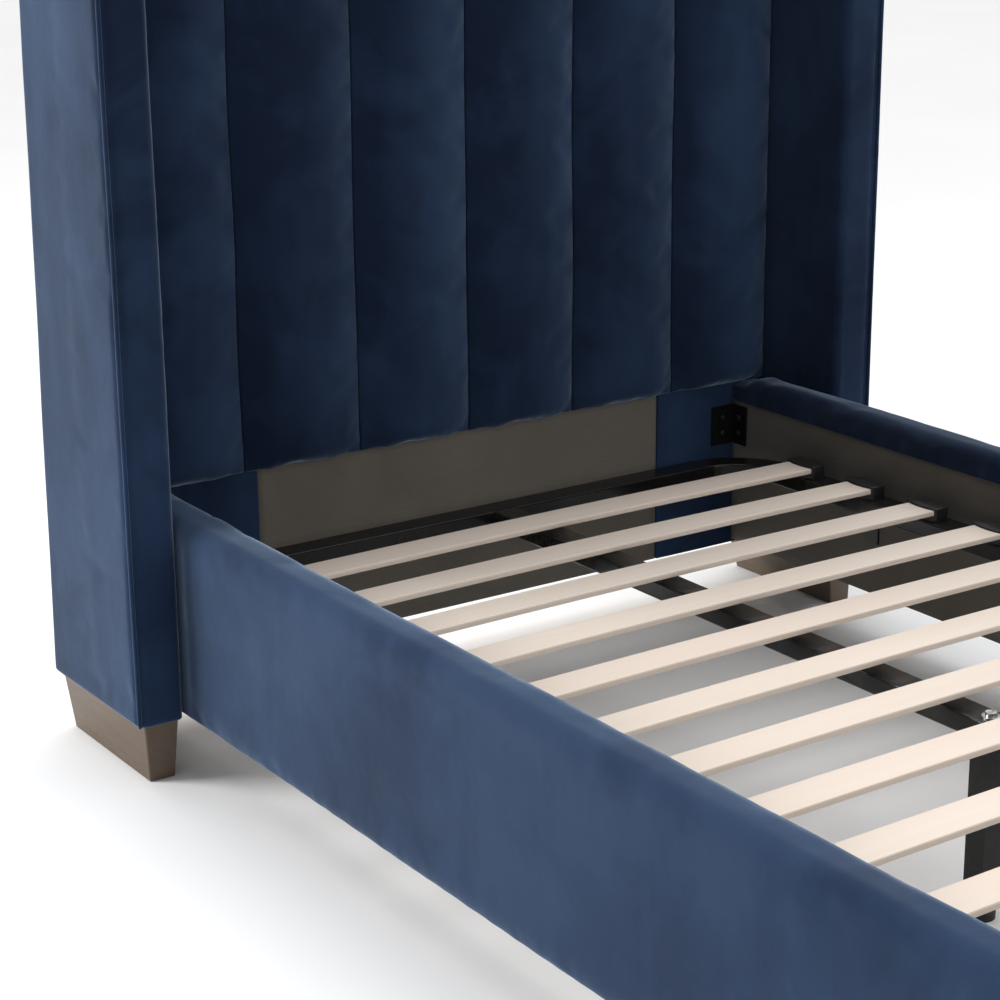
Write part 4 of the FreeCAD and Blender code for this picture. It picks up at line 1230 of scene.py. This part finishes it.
def timber():
    """Raw sawn pine and board, for the pieces inside the padding."""
    finish = Finish("core_timber", Specular_IOR_Level=0.2)
    grain = finish.use(GRAIN, Band_stretch=(30.0, 30.0, 2.5), Fibre_stretch=(700.0, 700.0, 30.0))
    colour = finish.mix(grain["Bands"], (0.42, 0.26, 0.13), (0.66, 0.47, 0.28))
    roughness = finish.between(grain["Fibres"], 0.65, 0.9)
    normal = finish.bump(grain["Height"], 0.5 * MM, 0.6)
    return finish.surface(colour, roughness, normal)


def coated_steel(name, shade, rough, texture):
    """Black coated steel with a faint orange-peel skin, rubbed a little at its edges."""
    finish = Finish(name, Specular_IOR_Level=0.2, Coat_Weight=0.1, Coat_Roughness=0.05)
    cloud = finish.use(MOTTLE, Scale=14.0, Detail=4.0, Low=0.3, High=0.75)["Mask"]
    colour = finish.mix(cloud, (shade, shade, shade * 1.05), (shade * 1.7, shade * 1.65, shade * 1.6))
    wear = finish.use(WEAR, Start=0.56, Full=0.7)["Mask"]
    colour = finish.mix(finish.sum("MULTIPLY", wear, 0.35), colour, (0.09, 0.088, 0.085))
    roughness = finish.between(cloud, rough, rough + 0.12)
    peel = finish.noise(finish.place, texture, 2.0)
    normal = finish.bump(peel, 0.08 * MM, 0.35)
    return finish.surface(colour, roughness, normal)


def zinc():
    """Zinc-plated steel with fine turned marks and dull patches."""
    finish = Finish("zinc_steel", Metallic=1.0)
    cloud = finish.use(MOTTLE, Scale=90.0, Detail=4.0, Low=0.3, High=0.7)["Mask"]
    colour = finish.mix(cloud, (0.50, 0.50, 0.49), (0.70, 0.70, 0.69))
    roughness = finish.between(cloud, 0.22, 0.42)
    normal = finish.bump(finish.noise(finish.place, 900.0, 2.0), 0.05 * MM, 0.4)
    return finish.surface(colour, roughness, normal)


def moulded_plastic():
    """Black moulded plastic with a fine spark-eroded texture."""
    finish = Finish("holder_plastic", Specular_IOR_Level=0.45)
    cloud = finish.use(MOTTLE, Scale=40.0, Detail=3.0, Low=0.3, High=0.7)["Mask"]
    colour = finish.mix(cloud, (0.010, 0.010, 0.011), (0.018, 0.018, 0.019))
    roughness = finish.between(cloud, 0.36, 0.5)
    normal = finish.bump(finish.noise(finish.place, 1300.0, 2.0), 0.06 * MM, 0.5)
    return finish.surface(colour, roughness, normal)


def pale_floor():
    finish = Finish("pale_floor", Specular_IOR_Level=0.1)
    cloud = finish.use(MOTTLE, Scale=0.6, Detail=3.0, Low=0.3, High=0.7)["Mask"]
    colour = finish.mix(cloud, (0.86, 0.86, 0.86), (0.88, 0.88, 0.88))
    roughness = finish.between(cloud, 0.85, 0.9)
    return finish.surface(colour, roughness)


# ---- The bed ----

FINISHES = {
    "navy_velvet": velvet(),
    "taupe_lining": lining_cloth(),
    "birch_slat": birch(
        corner("slat_01", 0, "z"), SLAT_THICKNESS, SLAT_BOW, corner("slat_01", 1, "x")
    ),
    "leg_wood": leg_wood(),
    "core_timber": timber(),
    "black_steel": coated_steel("black_steel", 0.0055, 0.14, 420.0),
    "black_screws": coated_steel("black_screws", 0.012, 0.30, 900.0),
    "zinc_steel": zinc(),
    "holder_plastic": moulded_plastic(),
}


def dress_cad_nodes():
    """Gives every CAD node the finish that the record names for it."""
    for part in frame["record"]["subparts"]:
        node = frame["nodes"][part["node"]]
        node.data.materials.clear()
        node.data.materials.append(FINISHES[part["material_slot"]])


dress_cad_nodes()
for number in range(CHANNELS):
    channel(number)
back_panel()
for word, side in SIDES:
    post_cover(word)
    wing(word, side)
    side_rail(word, side)
    lining(
        f"rail_lining_cloth_{word}",
        f"side_rail_lining_{word}",
        0,
        (LINING_FACE + 0.2 * MM) * side,
        side,
    )
welts = [wing_welt(word, side) for word, side in SIDES]
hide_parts("wing_welts")
footboard()
lining(
    "headboard_lining_cloth",
    "headboard_lower_lining",
    1,
    corner("headboard_lower_lining", 0, "y") + 0.2 * MM,
    1,
)
lining(
    "footboard_lining_cloth",
    "footboard_lining",
    1,
    corner("footboard_lining", 1, "y") - 0.2 * MM,
    -1,
)
slats()
slat_holders()
bracket_screws()
eased("corner_angle_plates", "corner_brackets", "black_steel", 0.8 * MM)
eased("frame_support_plates", "frame_support_brackets", "black_steel", 0.8 * MM)
for word, _ in SIDES:
    eased(f"head_leg_block_{word}", f"head_leg_{word}", "leg_wood", 1.4 * MM, 3)
    eased(f"foot_leg_block_{word}", f"foot_leg_{word}", "leg_wood", 1.4 * MM, 3)


# ---- Floor, light and camera ----


def floor():
    plane = new_piece("floor", [(-40, -40, 0), (40, -40, 0), (40, 40, 0), (-40, 40, 0)], [(0, 1, 2, 3)])
    plane.data.materials.append(pale_floor())


def soft_light(name, place, target, size, power):
    """A square soft box at a place, facing a target."""
    lamp = bpy.data.lights.new(name, "AREA")
    lamp.shape = "SQUARE"
    lamp.size = size
    lamp.energy = power
    item = show(bpy.data.objects.new(name, lamp))
    item.location = place
    item.rotation_euler = (Vector(target) - Vector(place)).to_track_quat("-Z", "Y").to_euler()


CAMERA_PLACE = (-1.8410, -1.7694, 1.2718)
CAMERA_YAW = 0.5949
CAMERA_PITCH = 0.2987
CAMERA_ROLL = -0.0093
CAMERA_LENS = 84.2166


def camera():
    """Stands at the left foot corner, a little above the headboard's middle, and looks down at the head."""
    yaw, pitch, roll = CAMERA_YAW, CAMERA_PITCH, CAMERA_ROLL
    ahead = Vector((math.sin(yaw) * math.cos(pitch), math.cos(yaw) * math.cos(pitch), -math.sin(pitch)))
    level = Vector((math.cos(yaw), -math.sin(yaw), 0))
    upward = level.cross(ahead)
    right = level * math.cos(roll) + upward * math.sin(roll)
    up = upward * math.cos(roll) - level * math.sin(roll)
    data = bpy.data.cameras.new("camera")
    data.lens = CAMERA_LENS
    data.sensor_width = 36
    data.clip_end = 200
    item = show(bpy.data.objects.new("camera", data))
    turn = Matrix((right, up, -ahead)).transposed().to_4x4()
    item.matrix_world = Matrix.Translation(CAMERA_PLACE) @ turn
    scene.camera = item


def studio():
    scene.view_settings.view_transform = "Standard"
    world = bpy.data.worlds.new("studio")
    world.use_nodes = True
    world.node_tree.nodes["Background"].inputs["Color"].default_value = (1.0, 1.0, 1.0, 1.0)
    world.node_tree.nodes["Background"].inputs["Strength"].default_value = 0.25
    scene.world = world
    sky = bpy.data.lights.new("overhead", "SUN")
    sky.energy = 2.7
    sky.angle = math.radians(70)
    item = show(bpy.data.objects.new("overhead", sky))
    item.rotation_euler = (math.radians(-14), math.radians(16), 0)
    soft_light("side_light", (-3.9, 3.1, 2.2), (-0.5, -0.2, 0.3), 1.8, 215)
    soft_light("front_light", (0.6, -4.6, 1.9), (0, 0.6, 0.5), 2.6, 74)


floor()
studio()
camera()
